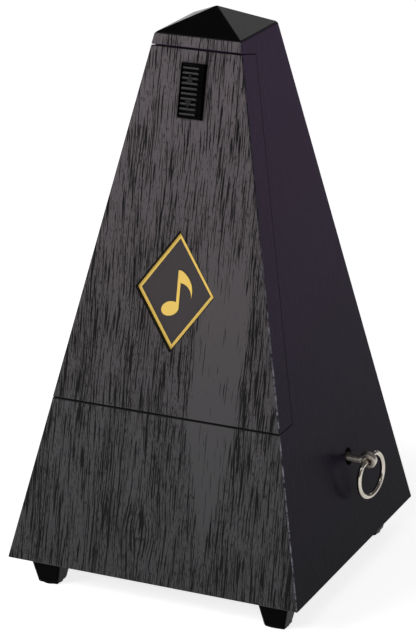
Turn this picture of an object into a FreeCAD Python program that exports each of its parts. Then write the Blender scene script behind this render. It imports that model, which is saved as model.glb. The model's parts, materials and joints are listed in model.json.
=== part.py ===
import FreeCAD, Part
import math
import os
import re
import Sketcher
from FreeCAD import Placement, Rotation, Vector

# A wind-up pyramid metronome.  Millimetres, +Z up, the front faces -Y, the winding key is on +X.
# The origin is on the floor, under the middle of the case and key taken together.
#
# Everything that lies parallel to the leaning front is drawn in the FACE frame: X across, Y is the
# depth behind the front surface, Z runs up the slope from the bottom edge.  Train parts are turned
# about the X axis of their own frame.

# Driving dimensions: every alias is a word with an underscore, and every cell holds a plain number.
DIMENSIONS = {
    # case
    "base_width": 118.0,
    "top_width": 34.0,
    "foot_height": 12.0,
    "body_height": 198.0,
    "cap_height": 8.0,
    "wall_thickness": 2.6,
    "cavity_height": 196.4,
    "overhang_shift": 1.9,
    "corner_block": 17.5,
    "corner_block_height": 20.0,
    "stud_radius": 3.0,
    # feet and floor plate
    "foot_offset": 46.5,
    "foot_top": 13.0,
    "foot_bottom": 8.0,
    "plate_width": 111.2,
    "plate_thickness": 2.5,
    "foot_screw_radius": 1.45,
    "foot_head_radius": 2.9,
    "slot_length": 40.0,
    "slot_width": 3.0,
    # cover
    "seam_rise": 62.0,
    "header_rise": 198.1,
    "return_depth": 12.0,
    "seam_gap": 0.3,
    "hook_inner": 20.0,
    "hook_width": 10.0,
    "hook_bottom": 57.4,
    "hook_thickness": 1.5,
    # badge
    "badge_centre": 109.6,
    "badge_width": 30.7,
    "badge_length": 43.5,
    "badge_line": 1.25,
    "badge_pocket": 1.6,
    "badge_foil": 0.3,
    "note_head_length": 3.6,
    "note_head_width": 2.6,
    "note_stem": 1.2,
    "note_height": 14.4,
    # latch
    "latch_centre": 182.8,
    "latch_length": 20.4,
    "latch_width": 10.2,
    "latch_proud": 1.8,
    "latch_travel": 4.0,
    "stem_width": 4.0,
    "stem_length": 8.0,
    "latch_gap": 0.15,
    "bolt_depth": 2.85,
    "bolt_width": 8.0,
    "bolt_thickness": 0.8,
    "groove_width": 6.8,
    "groove_depth": 0.6,
    "groove_first": 9.35,
    "groove_travel": 17.7,
    "groove_count": 10,
    # winding shaft and key
    "shaft_depth": 8.3,
    "shaft_rise": 46.8,
    "shaft_radius": 2.5,
    "key_hole_radius": 3.4,
    "key_radius": 1.65,
    "key_reach": 59.6,
    "lug_radius": 3.3,
    "lug_thickness": 2.4,
    "lug_hole_radius": 1.5,
    "bow_radius": 8.5,
    "bow_drop": 7.2,
    "bow_bend": 2.2,
    "bow_wire_radius": 0.95,
    "bow_pin_gap": 0.35,
    "lug_roll": 18.0,
    "bow_yaw": 10.0,
    # movement frame
    "frame_inner": 20.0,
    "frame_thickness": 1.5,
    "frame_front": -20.0,
    "frame_back": 34.0,
    "frame_top": 90.0,
    "frame_chamfer": 6.0,
    "flange_width": 10.0,
    "pillar_radius": 2.5,
    "pillar_end_radius": 1.5,
    "pillar_low": 22.0,
    "pillar_inset": 4.0,
    "nut_radius": 2.6,
    "nut_thickness": 1.6,
    "screw_radius": 1.0,
    "bridge_depth": 19.5,
    "bridge_reach": 36.0,
    "bridge_height": 10.0,
    "cock_depth": 56.5,
    "cock_thickness": 4.0,
    "potence_foot": 38.0,
    "running_gap": 0.05,
    "fit_gap": 0.02,
    # gears
    "great_module": 1.0,
    "second_module": 0.8,
    "wheel_teeth": 48,
    "second_pinion_teeth": 12,
    "escape_pinion_teeth": 10,
    "pressure_angle": 25.0,
    "tooth_addendum": 0.75,
    "tooth_dedendum": 1.0,
    "tooth_thinning": 0.08,
    "crown_radius": 11.0,
    "crown_teeth": 15,
    "crown_depth": 35.0,
    "arbor_shoulder": 19.7,
    "arbor_end": 21.8,
    "arbor_radius": 1.5,
    "arbor_pivot_radius": 0.8,
    "escape_radius": 1.2,
    "escape_pivot_radius": 0.6,
    "ratchet_radius": 8.0,
    "ratchet_root": 6.4,
    "ratchet_teeth": 12,
    "ratchet_level": 22.3,
    "ratchet_thickness": 1.7,
    "click_distance": 13.0,
    "click_bearing": 135.0,
    "click_boss_radius": 2.8,
    "click_post_radius": 1.2,
    # barrel and mainspring
    "barrel_radius": 20.0,
    "barrel_wall": 1.0,
    "spring_inner": 3.4,
    "spring_outer": 18.4,
    "spring_thickness": 0.5,
    "spring_turns": 8,
    "spring_width": 9.6,
    # pendulum
    "pivot_rise": 55.0,
    "pivot_depth": 8.4,
    "verge_radius": 1.25,
    "verge_pivot_radius": 0.8,
    "pallet_reach": 5.5,
    "pallet_width": 4.0,
    "pallet_thickness": 0.8,
    "pallet_angle": 45.0,
    "rod_width": 4.0,
    "rod_thickness": 0.8,
    "rod_top": 194.0,
    "rod_bottom": 20.0,
    "notch_pitch": 2.8,
    "notch_count": 38,
    "bob_radius": 15.0,
    "bob_drop": 32.0,
    "bob_thickness": 7.0,
    "bob_start": 0.4,
    "weight_rise": 100.0,
    "weight_height": 18.0,
    "weight_top": 20.0,
    "weight_bottom": 16.0,
    "weight_front": 4.6,
    "weight_back": 10.5,
    # scale
    "board_depth": 12.4,
    "board_thickness": 1.8,
    "board_bottom": 62.0,
    "board_top": 197.6,
    "scale_width": 27.0,
    "scale_bottom": 74.0,
    "scale_top": 184.0,
    "scale_thickness": 0.6,
}

# Formulas that several pieces share, for the sheet to work out.
LEAN = "atan((base_width - top_width) / 2 / body_height)"
BOARD_EDGE = "(base_width / 2 - wall_thickness - 0.1)"

SCRATCH_CELL = "F1"

doc = FreeCAD.newDocument("Metronome")
sheet = doc.addObject("Spreadsheet::Sheet", "Dims")
for row, (alias, number) in enumerate(DIMENSIONS.items(), start=1):
    sheet.set(f"A{row}", alias)
    sheet.set(f"B{row}", str(number))
    sheet.setAlias(f"B{row}", alias)
doc.recompute()


# ---------------------------------------------------------------- helpers


def expression(text):
    """A formula with every alias led by the sheet's name."""
    return re.sub(r"\b([a-z]+(?:_[a-z]+)+)\b", r"Dims.\1", str(text))


def value(text):
    """The number that a formula of aliases comes to."""
    sheet.set(SCRATCH_CELL, f"={text}")
    sheet.recompute()
    return FreeCAD.Units.Quantity(sheet.get(SCRATCH_CELL)).Value


def bind(item, prop, text):
    """Drive a property of an object from the sheet."""
    item.setExpression(prop, expression(text))


def new_body(label, frame):
    """An empty body, placed by its frame."""
    body = doc.addObject("PartDesign::Body", label)
    body.Label = label
    body.Placement = frame
    return body


def origin_of(body, role):
    """One of the body's own origin planes or axes."""
    return next(f for f in body.Origin.OriginFeatures if f.Role == role)


def draw(body, role, level="0"):
    """An empty sketch on an origin plane, moved along the plane's normal by a level."""
    sketch = body.newObject("Sketcher::SketchObject", f"{body.Label}_sketch")
    sketch.AttachmentSupport = (origin_of(body, role), [""])
    sketch.MapMode = "FlatFace"
    bind(sketch, "AttachmentOffset.Base.z", level)
    return sketch


def pin_point(sketch, geometry, vertex, point):
    """Hold a vertex of the sketch at a place given by two formulas."""
    for kind, text in zip(("DistanceX", "DistanceY"), point):
        index = sketch.addConstraint(
            Sketcher.Constraint(kind, -1, 1, geometry, vertex, value(text))
        )
        bind(sketch, f"Constraints[{index}]", text)


def outline(sketch, points):
    """A closed outline of straight lines through points given by formulas."""
    first = sketch.GeometryCount
    places = [Vector(value(x), value(y), 0) for x, y in points]
    count = len(points)
    for i in range(count):
        sketch.addGeometry(Part.LineSegment(places[i], places[(i + 1) % count]))
    for i in range(count):
        sketch.addConstraint(
            Sketcher.Constraint("Coincident", first + i, 2, first + (i + 1) % count, 1)
        )
        pin_point(sketch, first + i, 1, points[i])


def circle(sketch, x, y, radius):
    """A circle whose centre and radius are given by formulas."""
    centre = Vector(value(x), value(y), 0)
    index = sketch.addGeometry(Part.Circle(centre, Vector(0, 0, 1), value(radius)))
    size = sketch.addConstraint(Sketcher.Constraint("Radius", index, value(radius)))
    bind(sketch, f"Constraints[{size}]", radius)
    pin_point(sketch, index, 3, (x, y))


def pad(body, sketch, length):
    """Grow a sketch along its normal."""
    feature = body.newObject("PartDesign::Pad", f"{body.Label}_pad")
    feature.Profile = sketch
    bind(feature, "Length", length)
    body.Tip = feature
    return feature


def cut_away(body, sketch, length):
    """Cut a sketch out of the body along its normal, and make sure that it did."""
    doc.recompute()
    before = body.Shape.Volume
    feature = body.newObject("PartDesign::Pocket", f"{body.Label}_pocket")
    feature.Profile = sketch
    feature.Reversed = True
    bind(feature, "Length", length)
    body.Tip = feature
    doc.recompute()
    if body.Shape.Volume >= before:
        raise RuntimeError(f"{body.Label}: the pocket cuts nothing")
    return feature


def around(body, feature, count):
    """Repeat a feature round the body's X axis."""
    pattern = body.newObject("PartDesign::PolarPattern", f"{body.Label}_pattern")
    pattern.Originals = [feature]
    pattern.Axis = (origin_of(body, "X_Axis"), [""])
    pattern.Angle = 360
    bind(pattern, "Occurrences", count)
    body.Tip = pattern
    return pattern


def plate(label, frame, role, level, thickness, points=(), circles=()):
    """A flat piece: its level is its lower face, along +X, +Y or +Z."""
    body = new_body(label, frame)
    start = f"-({level} + {thickness})" if role == "XZ_Plane" else level
    sketch = draw(body, role, start)
    if points:
        outline(sketch, points)
    for x, y, radius in circles:
        circle(sketch, x, y, radius)
    pad(body, sketch, thickness)
    return body


def turned(label, frame, points):
    """A piece turned about the X axis of its frame, from points (along, radius)."""
    body = new_body(label, frame)
    sketch = draw(body, "XY_Plane")
    outline(sketch, points)
    feature = body.newObject("PartDesign::Revolution", f"{label}_revolution")
    feature.Profile = sketch
    feature.ReferenceAxis = (origin_of(body, "X_Axis"), [""])
    feature.Angle = 360
    body.Tip = feature
    return body


def block(label, frame, corner, size):
    """A box from its lowest corner and its size in a frame."""
    item = doc.addObject("Part::Box", label)
    item.Label = label
    for prop, text in zip(("Length", "Width", "Height"), size):
        bind(item, prop, text)
    item.Placement = frame.multiply(Placement(Vector(*map(value, corner)), Rotation()))
    return item


def cylinder(label, frame, start, axis, radius, length):
    """A cylinder from its first end, along an axis of a frame."""
    item = doc.addObject("Part::Cylinder", label)
    item.Label = label
    bind(item, "Radius", radius)
    bind(item, "Height", length)
    turn = Rotation(Vector(0, 0, 1), axis)
    item.Placement = frame.multiply(Placement(Vector(*map(value, start)), turn))
    return item


def fuse(label, items):
    """Items joined where they touch; apart, they stay separate solids."""
    item = doc.addObject("Part::MultiFuse", label)
    item.Label = label
    item.Shapes = items
    return item


def cut(label, base, tool):
    """The base without the tool."""
    item = doc.addObject("Part::Cut", label)
    item.Label = label
    item.Base = base
    item.Tool = tool
    return item


def common(label, base, tool):
    """What the base and the tool share."""
    item = doc.addObject("Part::Common", label)
    item.Label = label
    item.Base = base
    item.Tool = tool
    return item


def wedge(label, bottom, top, height, level):
    """A square pyramid stump about the vertical axis, from a bottom and a top width."""
    item = doc.addObject("Part::Wedge", label)
    item.Label = label
    item.Ymin = 0
    bind(item, "Ymax", height)
    for low, high, width in (("Xmin", "Xmax", bottom), ("Zmin", "Zmax", bottom),
                             ("X2min", "X2max", top), ("Z2min", "Z2max", top)):
        bind(item, low, f"-({width}) / 2")
        bind(item, high, f"({width}) / 2")
    item.Placement = Placement(Vector(0, 0, value(level)), Rotation(Vector(1, 0, 0), 90))
    return item


# ---------------------------------------------------------------- frames

PLAIN = Placement()
X_AXIS, Y_AXIS, Z_AXIS = Vector(1, 0, 0), Vector(0, 1, 0), Vector(0, 0, 1)
lean = value(LEAN)

# CASE is centred on the pyramid; FACE lies on its leaning front.
CASE = Placement(Vector(-value("overhang_shift"), 0, 0), Rotation())
FACE_IN_CASE = Placement(
    Vector(0, -value("base_width / 2"), value("foot_height")), Rotation(X_AXIS, -lean)
)
FACE = CASE.multiply(FACE_IN_CASE)
inward = FACE_IN_CASE.Rotation.multVec(Y_AXIS)
upslope = FACE_IN_CASE.Rotation.multVec(Z_AXIS)


def train_frame(y, z, phase=0.0):
    """A frame on an axis along X through (y, z) of the case, turned by a phase."""
    return CASE.multiply(Placement(Vector(0, y, z), Rotation(X_AXIS, phase)))


def heading(start, end):
    """The direction from one axis to another, in degrees from +Y towards +Z."""
    return math.degrees(math.atan2(end[1] - start[1], end[0] - start[0]))


# The verge lies across the front, and the crown wheel's axis crosses it at right angles.
pivot = FACE_IN_CASE.multVec(Vector(0, value("pivot_depth"), value("pivot_rise")))
VERGE = CASE.multiply(Placement(pivot, Rotation(inward, -X_AXIS, upslope, "XYZ")))
crown_centre = pivot + inward * value("crown_depth")

barrel_axis = (value("shaft_depth"), value("shaft_rise"))
escape_axis = (crown_centre.y, crown_centre.z)
great_distance = value("great_module * (wheel_teeth + second_pinion_teeth) / 2")
second_distance = value("second_module * (wheel_teeth + escape_pinion_teeth) / 2")


def meeting_point(first, first_radius, second, second_radius):
    """The upper point at the two given distances from two axes."""
    gap = math.dist(first, second)
    along = (gap**2 + first_radius**2 - second_radius**2) / (2 * gap)
    aside = math.sqrt(first_radius**2 - along**2)
    uy, uz = (second[0] - first[0]) / gap, (second[1] - first[1]) / gap
    points = [
        (first[0] + along * uy - side * uz, first[1] + along * uz + side * uy)
        for side in (aside, -aside)
    ]
    return max(points, key=lambda point: point[1])


second_axis = meeting_point(barrel_axis, great_distance, escape_axis, second_distance)

BARREL = train_frame(*barrel_axis)
SECOND = train_frame(*second_axis)
ESCAPE = train_frame(*escape_axis)


# ---------------------------------------------------------------- case


def front_space(label, gap):
    """The space of the front cover, as a prism across the case, smaller all round by a gap."""
    body = new_body(label, FACE_IN_CASE)
    bottom = f"(seam_rise + {gap} + %s * sin({LEAN})) / cos({LEAN})"
    sketch = draw(body, "YZ_Plane", "-base_width / 2 - 5")
    outline(sketch, [
        ("-5", bottom % "(0 - 5)"),
        (f"return_depth - {gap}", bottom % f"(return_depth - {gap})"),
        (f"return_depth - {gap}", f"header_rise - {gap}"),
        ("-5", f"header_rise - {gap}"),
    ])
    pad(body, sketch, "base_width + 10")
    return body


def corners(offset="foot_offset"):
    """The four corners of the footprint, as formulas."""
    for side in ("right", "left"):
        for end in ("front", "rear"):
            x = offset if side == "right" else f"-{offset}"
            y = offset if end == "rear" else f"-{offset}"
            yield f"{end}_{side}", x, y


def screws(label, places, level, shank, length, head, head_height):
    """A group of screws that point up, their heads below the given level."""
    solids = []
    for name, x, y in places:
        solids.append(cylinder(f"{label}_{name}_head", CASE, (x, y, f"{level} - {head_height}"),
                               Z_AXIS, head, head_height))
        solids.append(cylinder(f"{label}_{name}_shank", CASE, (x, y, f"{level} - 0.5"),
                               Z_AXIS, shank, f"{length} + 0.5"))
    return fuse(label, solids)


def pyramid_shell():
    """The hollow pyramid that the case and its cover are both cut from."""
    outer = wedge("outer_pyramid", "base_width", "top_width", "body_height", "foot_height")
    inner_bottom = "base_width - 2 * wall_thickness"
    inner_top = f"{inner_bottom} - 2 * cavity_height * tan({LEAN})"
    inner = wedge("inner_pyramid", inner_bottom, inner_top, "cavity_height", "foot_height")
    return outer, cut("hollow_pyramid", outer, inner)


def case_shell(outer, hollow):
    """The moulded case: back, sides, lower front, header and four screw blocks."""
    opened = cut("opened_pyramid", hollow, front_space("front_opening", "0"))
    blocks = []
    for name, x, y in corners("(base_width / 2 - corner_block)"):
        x_low = x if name.endswith("right") else "-base_width / 2"
        y_low = y if name.startswith("rear") else "-base_width / 2"
        blocks.append(block(f"block_{name}", PLAIN,
                            (x_low, y_low, "foot_height + plate_thickness"),
                            ("corner_block", "corner_block", "corner_block_height")))
    inside = common("corner_blocks", fuse("square_blocks", blocks), outer)
    solid = fuse("case_blank", [opened, inside])
    holes = [
        cylinder("key_opening", PLAIN, ("frame_inner + 15", "shaft_depth", "shaft_rise"),
                 X_AXIS, "key_hole_radius", "base_width / 2"),
        cylinder("cap_opening", PLAIN, ("0", "0", "foot_height + cavity_height - 1"),
                 Z_AXIS, "stud_radius + 0.1", "cap_height"),
    ]
    for name, x, y in corners():
        holes.append(cylinder(f"pilot_{name}", PLAIN, (x, y, "foot_height"), Z_AXIS,
                              "foot_screw_radius + running_gap", "14"))
    shell = cut("case_shell", solid, fuse("case_holes", holes))
    shell.Placement = CASE
    return shell


def top_cap():
    """The low pyramid on top, with the stud that centres it."""
    roof = wedge("cap_roof", "top_width", "0", "cap_height", "foot_height + body_height")
    stud = cylinder("cap_stud", PLAIN, ("0", "0", "foot_height + cavity_height + 0.2"),
                    Z_AXIS, "stud_radius", "body_height - cavity_height + 0.4")
    cap = fuse("top_cap", [roof, stud])
    cap.Placement = CASE
    return cap


def movement_screw_places():
    """Where the movement's flanges are screwed down."""
    middle = "frame_inner + frame_thickness + flange_width / 2"
    for side, x in (("right", middle), ("left", f"-({middle})")):
        for end, y in (("front", "frame_front + 8"), ("rear", "frame_back - 8")):
            yield f"{end}_{side}", x, y


def base_plate():
    """The floor of the case, with holes for its screws and slots that let the sound out."""
    half = "plate_width / 2"
    holes = [(x, y, "foot_screw_radius + running_gap") for _, x, y in corners()]
    holes += [(x, y, "screw_radius + running_gap") for _, x, y in movement_screw_places()]
    square = [(f"-{half}", f"-{half}"), (half, f"-{half}"), (half, half), (f"-{half}", half)]
    floor = plate("base_plate", CASE, "XY_Plane", "foot_height", "plate_thickness",
                  square, holes)
    slots = draw(floor, "XY_Plane", "foot_height - 1")
    for row in range(4):
        low = f"-46 + {row} * 2.5 * slot_width"
        outline(slots, [("-slot_length / 2", low), ("slot_length / 2", low),
                        ("slot_length / 2", f"{low} + slot_width"),
                        ("-slot_length / 2", f"{low} + slot_width")])
    cut_away(floor, slots, "plate_thickness + 2")
    return floor


def foot(name, x, y):
    """A square foot that narrows to the floor, counterbored for its screw."""
    frame = CASE.multiply(Placement(Vector(value(x), value(y), value("foot_height")),
                                    Rotation(X_AXIS, 180)))
    body = new_body(f"foot_{name}", frame)
    side = "foot_top / 2"
    square = draw(body, "XY_Plane")
    outline(square, [(f"-{side}", f"-{side}"), (side, f"-{side}"), (side, side), (f"-{side}", side)])
    feature = pad(body, square, "foot_height")
    bind(feature, "TaperAngle", "-atan((foot_top - foot_bottom) / 2 / foot_height)")
    bore = draw(body, "XY_Plane", "-1")
    circle(bore, "0", "0", "foot_screw_radius + running_gap")
    cut_away(body, bore, "foot_height + 2")
    counterbore = draw(body, "XY_Plane", "foot_height / 2")
    circle(counterbore, "0", "0", "foot_head_radius + 0.2")
    cut_away(body, counterbore, "foot_height")
    return body


def feet_and_screws():
    """The four feet, their screws, and the screws that hold the movement."""
    feet = [foot(name, x, y) for name, x, y in corners()]
    foot_screws = screws("foot_screws", list(corners()), "foot_height / 2",
                         "foot_screw_radius", "18", "foot_head_radius", "2.4")
    flange_top = "foot_height + plate_thickness + frame_thickness"
    solids = []
    for name, x, y in movement_screw_places():
        solids.append(cylinder(f"movement_screw_{name}_head", CASE, (x, y, flange_top),
                               Z_AXIS, "2 * screw_radius", "1.2"))
        solids.append(cylinder(f"movement_screw_{name}_shank", CASE,
                               (x, y, "foot_height + 0.4"), Z_AXIS, "screw_radius",
                               "plate_thickness + frame_thickness"))
    return feet + [foot_screws, fuse("movement_screws", solids)]


# ---------------------------------------------------------------- front cover


def rhombus(width, length):
    """The corners of an upright rhombus about the badge's centre."""
    return [("0", f"badge_centre - ({length}) / 2"), (f"({width}) / 2", "badge_centre"),
            ("0", f"badge_centre + ({length}) / 2"), (f"-({width}) / 2", "badge_centre")]


def cover_panel(hollow):
    """The lift-off front with its side returns, hooks, badge recess and latch slot."""
    tray = common("cover_tray", hollow, front_space("cover_space", "seam_gap"))
    hooks = []
    for side, low in (("right", "hook_inner"), ("left", "-hook_inner - hook_width")):
        hooks.append(block(f"hook_root_{side}", FACE_IN_CASE, (low, "2", "64.6"),
                           ("hook_width", "2.4", "6")))
        hooks.append(block(f"hook_tongue_{side}", FACE_IN_CASE, (low, "2.9", "hook_bottom"),
                           ("hook_width", "hook_thickness", "8")))
    blank = fuse("cover_blank", [tray] + hooks)
    recess = plate("badge_recess", FACE_IN_CASE, "XZ_Plane", "-1", "badge_pocket + 1",
                   rhombus("badge_width + 0.2", "badge_length + 0.3"))
    slot = block("latch_slot", FACE_IN_CASE,
                 ("-stem_width / 2 - seam_gap", "-1", "latch_centre - stem_length / 2 - seam_gap"),
                 ("stem_width + 2 * seam_gap", "6", "stem_length + latch_travel + 2 * seam_gap"))
    panel = cut("cover_panel", blank, fuse("cover_openings", [recess, slot]))
    panel.Placement = CASE
    return panel


def badge():
    """The badge: a dark rhombus, its raised border, and a single quaver."""
    ground = plate("badge_plate", FACE, "XZ_Plane", "badge_pocket - badge_foil", "badge_foil",
                   rhombus("badge_width", "badge_length"))
    level = "badge_pocket - 2 * badge_foil"
    slant = "sqrt(1 + (badge_length / badge_width)^2)"
    inner_width = f"badge_width - 2 * badge_line * {slant} * badge_width / badge_length"
    inner_length = f"badge_length - 2 * badge_line * {slant}"
    border = new_body("badge_border", FACE)
    ring = draw(border, "XZ_Plane", f"-({level} + badge_foil)")
    outline(ring, rhombus("badge_width", "badge_length"))
    outline(ring, rhombus(inner_width, inner_length))
    pad(border, ring, "badge_foil")

    head = doc.addObject("Part::Ellipse", "note_head_outline")
    bind(head, "MajorRadius", "note_head_length")
    bind(head, "MinorRadius", "note_head_width")
    head.Placement = Placement(Vector(-1.9, 0, 0), Rotation(Z_AXIS, 25))
    doc.recompute()
    right, top = 1.5, value("note_height")
    left = right - value("note_stem")
    foot, crook = Vector(left, 0.6, 0), Vector(right, top - 4.6, 0)
    tip = Vector(6.0, 4.4, 0)
    edges = [
        Part.LineSegment(foot, Vector(right, 0.6, 0)),
        Part.LineSegment(Vector(right, 0.6, 0), crook),
        Part.Arc(crook, Vector(5.3, 7.6, 0), tip),
        Part.Arc(tip, Vector(5.7, 10.0, 0), Vector(right, top, 0)),
        Part.LineSegment(Vector(right, top, 0), Vector(left, top, 0)),
        Part.LineSegment(Vector(left, top, 0), foot),
    ]
    stem_face = Part.Face(Part.Wire([edge.toShape() for edge in edges]))
    head_face = Part.Face(Part.Wire(head.Shape.Edges))
    foil = Z_AXIS * value("badge_foil")
    solids = [face.extrude(foil) for face in (head_face, stem_face)]
    note = doc.addObject("Part::Feature", "badge_note")
    note.Label = "badge_note"
    note.Shape = solids[0].fuse(solids[1]).removeSplitter()
    stand = Placement(Vector(0, value(f"{level} + badge_foil"), value("badge_centre - 6.5")),
                      Rotation(X_AXIS, 90))
    note.Placement = FACE.multiply(stand)
    return [ground, border, note]


def latch():
    """The thumb slider with its ribs, and the bolt behind the cover that it moves."""
    button = new_body("latch_button", FACE)
    bottom, top = "latch_centre - latch_length / 2", "latch_centre + latch_length / 2"
    side = "latch_width / 2"
    slab = draw(button, "XZ_Plane", "latch_gap")
    outline(slab, [(f"-{side}", bottom), (side, bottom), (side, top), (f"-{side}", top)])
    feature = pad(button, slab, "latch_proud - latch_gap")
    bind(feature, "TaperAngle", "-20")
    stem_side = "stem_width / 2"
    stem_low, stem_high = "latch_centre - stem_length / 2", "latch_centre + stem_length / 2"
    stem = draw(button, "XZ_Plane", "-bolt_depth")
    outline(stem, [(f"-{stem_side}", stem_low), (stem_side, stem_low),
                   (stem_side, stem_high), (f"-{stem_side}", stem_high)])
    pad(button, stem, "bolt_depth + latch_gap + 0.5")
    groove = draw(button, "XZ_Plane", "latch_proud - groove_depth")
    groove_side, groove_low = "groove_width / 2", "latch_centre - groove_first"
    outline(groove, [(f"-{groove_side}", groove_low), (groove_side, groove_low),
                     (groove_side, f"{groove_low} + 1"), (f"-{groove_side}", f"{groove_low} + 1")])
    first = cut_away(button, groove, "1")
    ribs = button.newObject("PartDesign::LinearPattern", "latch_ribs")
    ribs.Originals = [first]
    ribs.Direction = (origin_of(button, "Z_Axis"), [""])
    bind(ribs, "Length", "groove_travel")
    bind(ribs, "Occurrences", "groove_count")
    button.Tip = ribs
    edge, nose = "bolt_width / 2", "(bolt_width / 2 - 1.5)"
    bolt = plate("latch_bolt", FACE, "XZ_Plane", "bolt_depth", "bolt_thickness",
                 [(f"-{edge}", "latch_centre - 8"), (edge, "latch_centre - 8"),
                  (edge, "latch_centre + 12.6"), (nose, "latch_centre + 14.1"),
                  (f"-{nose}", "latch_centre + 14.1"), (f"-{edge}", "latch_centre + 12.6")])
    return [button, bolt]


# ---------------------------------------------------------------- gears


def tooth_outline(teeth, module):
    """One involute tooth about +X of its sketch, from its foot round its tip."""
    pressure = math.radians(value("pressure_angle"))
    pitch = module * teeth / 2
    base = pitch * math.cos(pressure)
    tip = pitch + value("tooth_addendum") * module
    root = pitch - value("tooth_dedendum") * module
    half = math.pi / (2 * teeth) - value("tooth_thinning") / pitch

    def flank_angle(radius):
        slope = math.acos(min(1.0, base / radius))
        return half + math.tan(pressure) - pressure - math.tan(slope) + slope

    low = max(base, root)
    radii = [low + (tip - low) * step / 5 for step in range(6)]
    flank = [(root - 0.3, flank_angle(low))] + [(r, flank_angle(r)) for r in radii]
    side = [Vector(r * math.cos(a), r * math.sin(a), 0) for r, a in flank]
    mirrored = [Vector(p.x, -p.y, 0) for p in side]
    return mirrored + side[::-1]


def free_outline(sketch, places):
    """A closed outline through points that a formula has worked out."""
    for i, place in enumerate(places):
        sketch.addGeometry(Part.LineSegment(place, places[(i + 1) % len(places)]))


def gear(label, frame, teeth, module, level, width, bore):
    """A spur gear about X: a root disc with one tooth repeated round it."""
    body = new_body(label, frame)
    disc = draw(body, "YZ_Plane", level)
    circle(disc, "0", "0", f"{module} * {teeth} / 2 - tooth_dedendum * {module}")
    circle(disc, "0", "0", bore)
    pad(body, disc, width)
    tooth = draw(body, "YZ_Plane", level)
    free_outline(tooth, tooth_outline(value(teeth), value(module)))
    around(body, pad(body, tooth, width), teeth)
    return body


def crown_wheel():
    """The escape wheel: a cup whose rim is cut into saw teeth that face +X."""
    wheel = turned("crown_wheel", ESCAPE, [
        ("-9.5", "escape_radius + fit_gap"), ("-9.5", "crown_radius"), ("-4.8", "crown_radius"),
        ("-4.8", "crown_radius - 1.4"), ("-8.3", "crown_radius - 1.4"), ("-8.3", "3"),
        ("-7.0", "3"), ("-7.0", "escape_radius + fit_gap"),
    ])
    notch = draw(wheel, "XY_Plane", "crown_radius - 3")
    outline(notch, [("-4.0", "0.3"), ("-7.2", "0.3"), ("-4.0", "5.3")])
    around(wheel, cut_away(wheel, notch, "6"), "crown_teeth")
    return wheel


def ratchet_wheel():
    """The winding ratchet: saw teeth that let the key turn one way."""
    body = new_body("ratchet_wheel", BARREL)
    sketch = draw(body, "YZ_Plane", "ratchet_level")
    step = 360 / value("ratchet_teeth")
    places = []
    for tooth in range(int(value("ratchet_teeth"))):
        angle = math.radians(90 + tooth * step)
        for radius in (value("ratchet_radius"), value("ratchet_root")):
            places.append(Vector(radius * math.cos(angle), radius * math.sin(angle), 0))
    free_outline(sketch, places)
    circle(sketch, "0", "0", "shaft_radius + fit_gap")
    pad(body, sketch, "ratchet_thickness")
    return body


def mainspring():
    """The mainspring: a flat strip coiled inside the barrel, of half circles that grow."""
    halves = 2 * int(value("spring_turns"))
    inner, outer = value("spring_inner"), value("spring_outer")
    thickness = value("spring_thickness")
    step = (outer - inner - thickness) / halves

    def coil(offset):
        ends = [(-1) ** k * (inner + k * step + offset) for k in range(halves + 1)]
        arcs = []
        for k in range(halves):
            middle = (ends[k] + ends[k + 1]) / 2
            crest = (-1) ** k * abs(ends[k] - ends[k + 1]) / 2
            arcs.append(Part.Arc(Vector(0, ends[k], 0), Vector(0, middle, crest),
                                 Vector(0, ends[k + 1], 0)).toShape())
        return arcs, ends

    inside, inside_ends = coil(0)
    outside, outside_ends = coil(thickness)
    first = Part.LineSegment(Vector(0, inside_ends[0], 0), Vector(0, outside_ends[0], 0))
    last = Part.LineSegment(Vector(0, inside_ends[-1], 0), Vector(0, outside_ends[-1], 0))
    edges = inside + [last.toShape()] + outside[::-1] + [first.toShape()]
    spring = doc.addObject("Part::Feature", "mainspring")
    spring.Label = "mainspring"
    strip = Part.Face(Part.Wire(Part.__sortEdges__(edges)))
    spring.Shape = strip.extrude(X_AXIS * value("spring_width"))
    spring.Placement = BARREL.multiply(Placement(Vector(6.7, 0, 0), Rotation()))
    return spring


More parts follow.
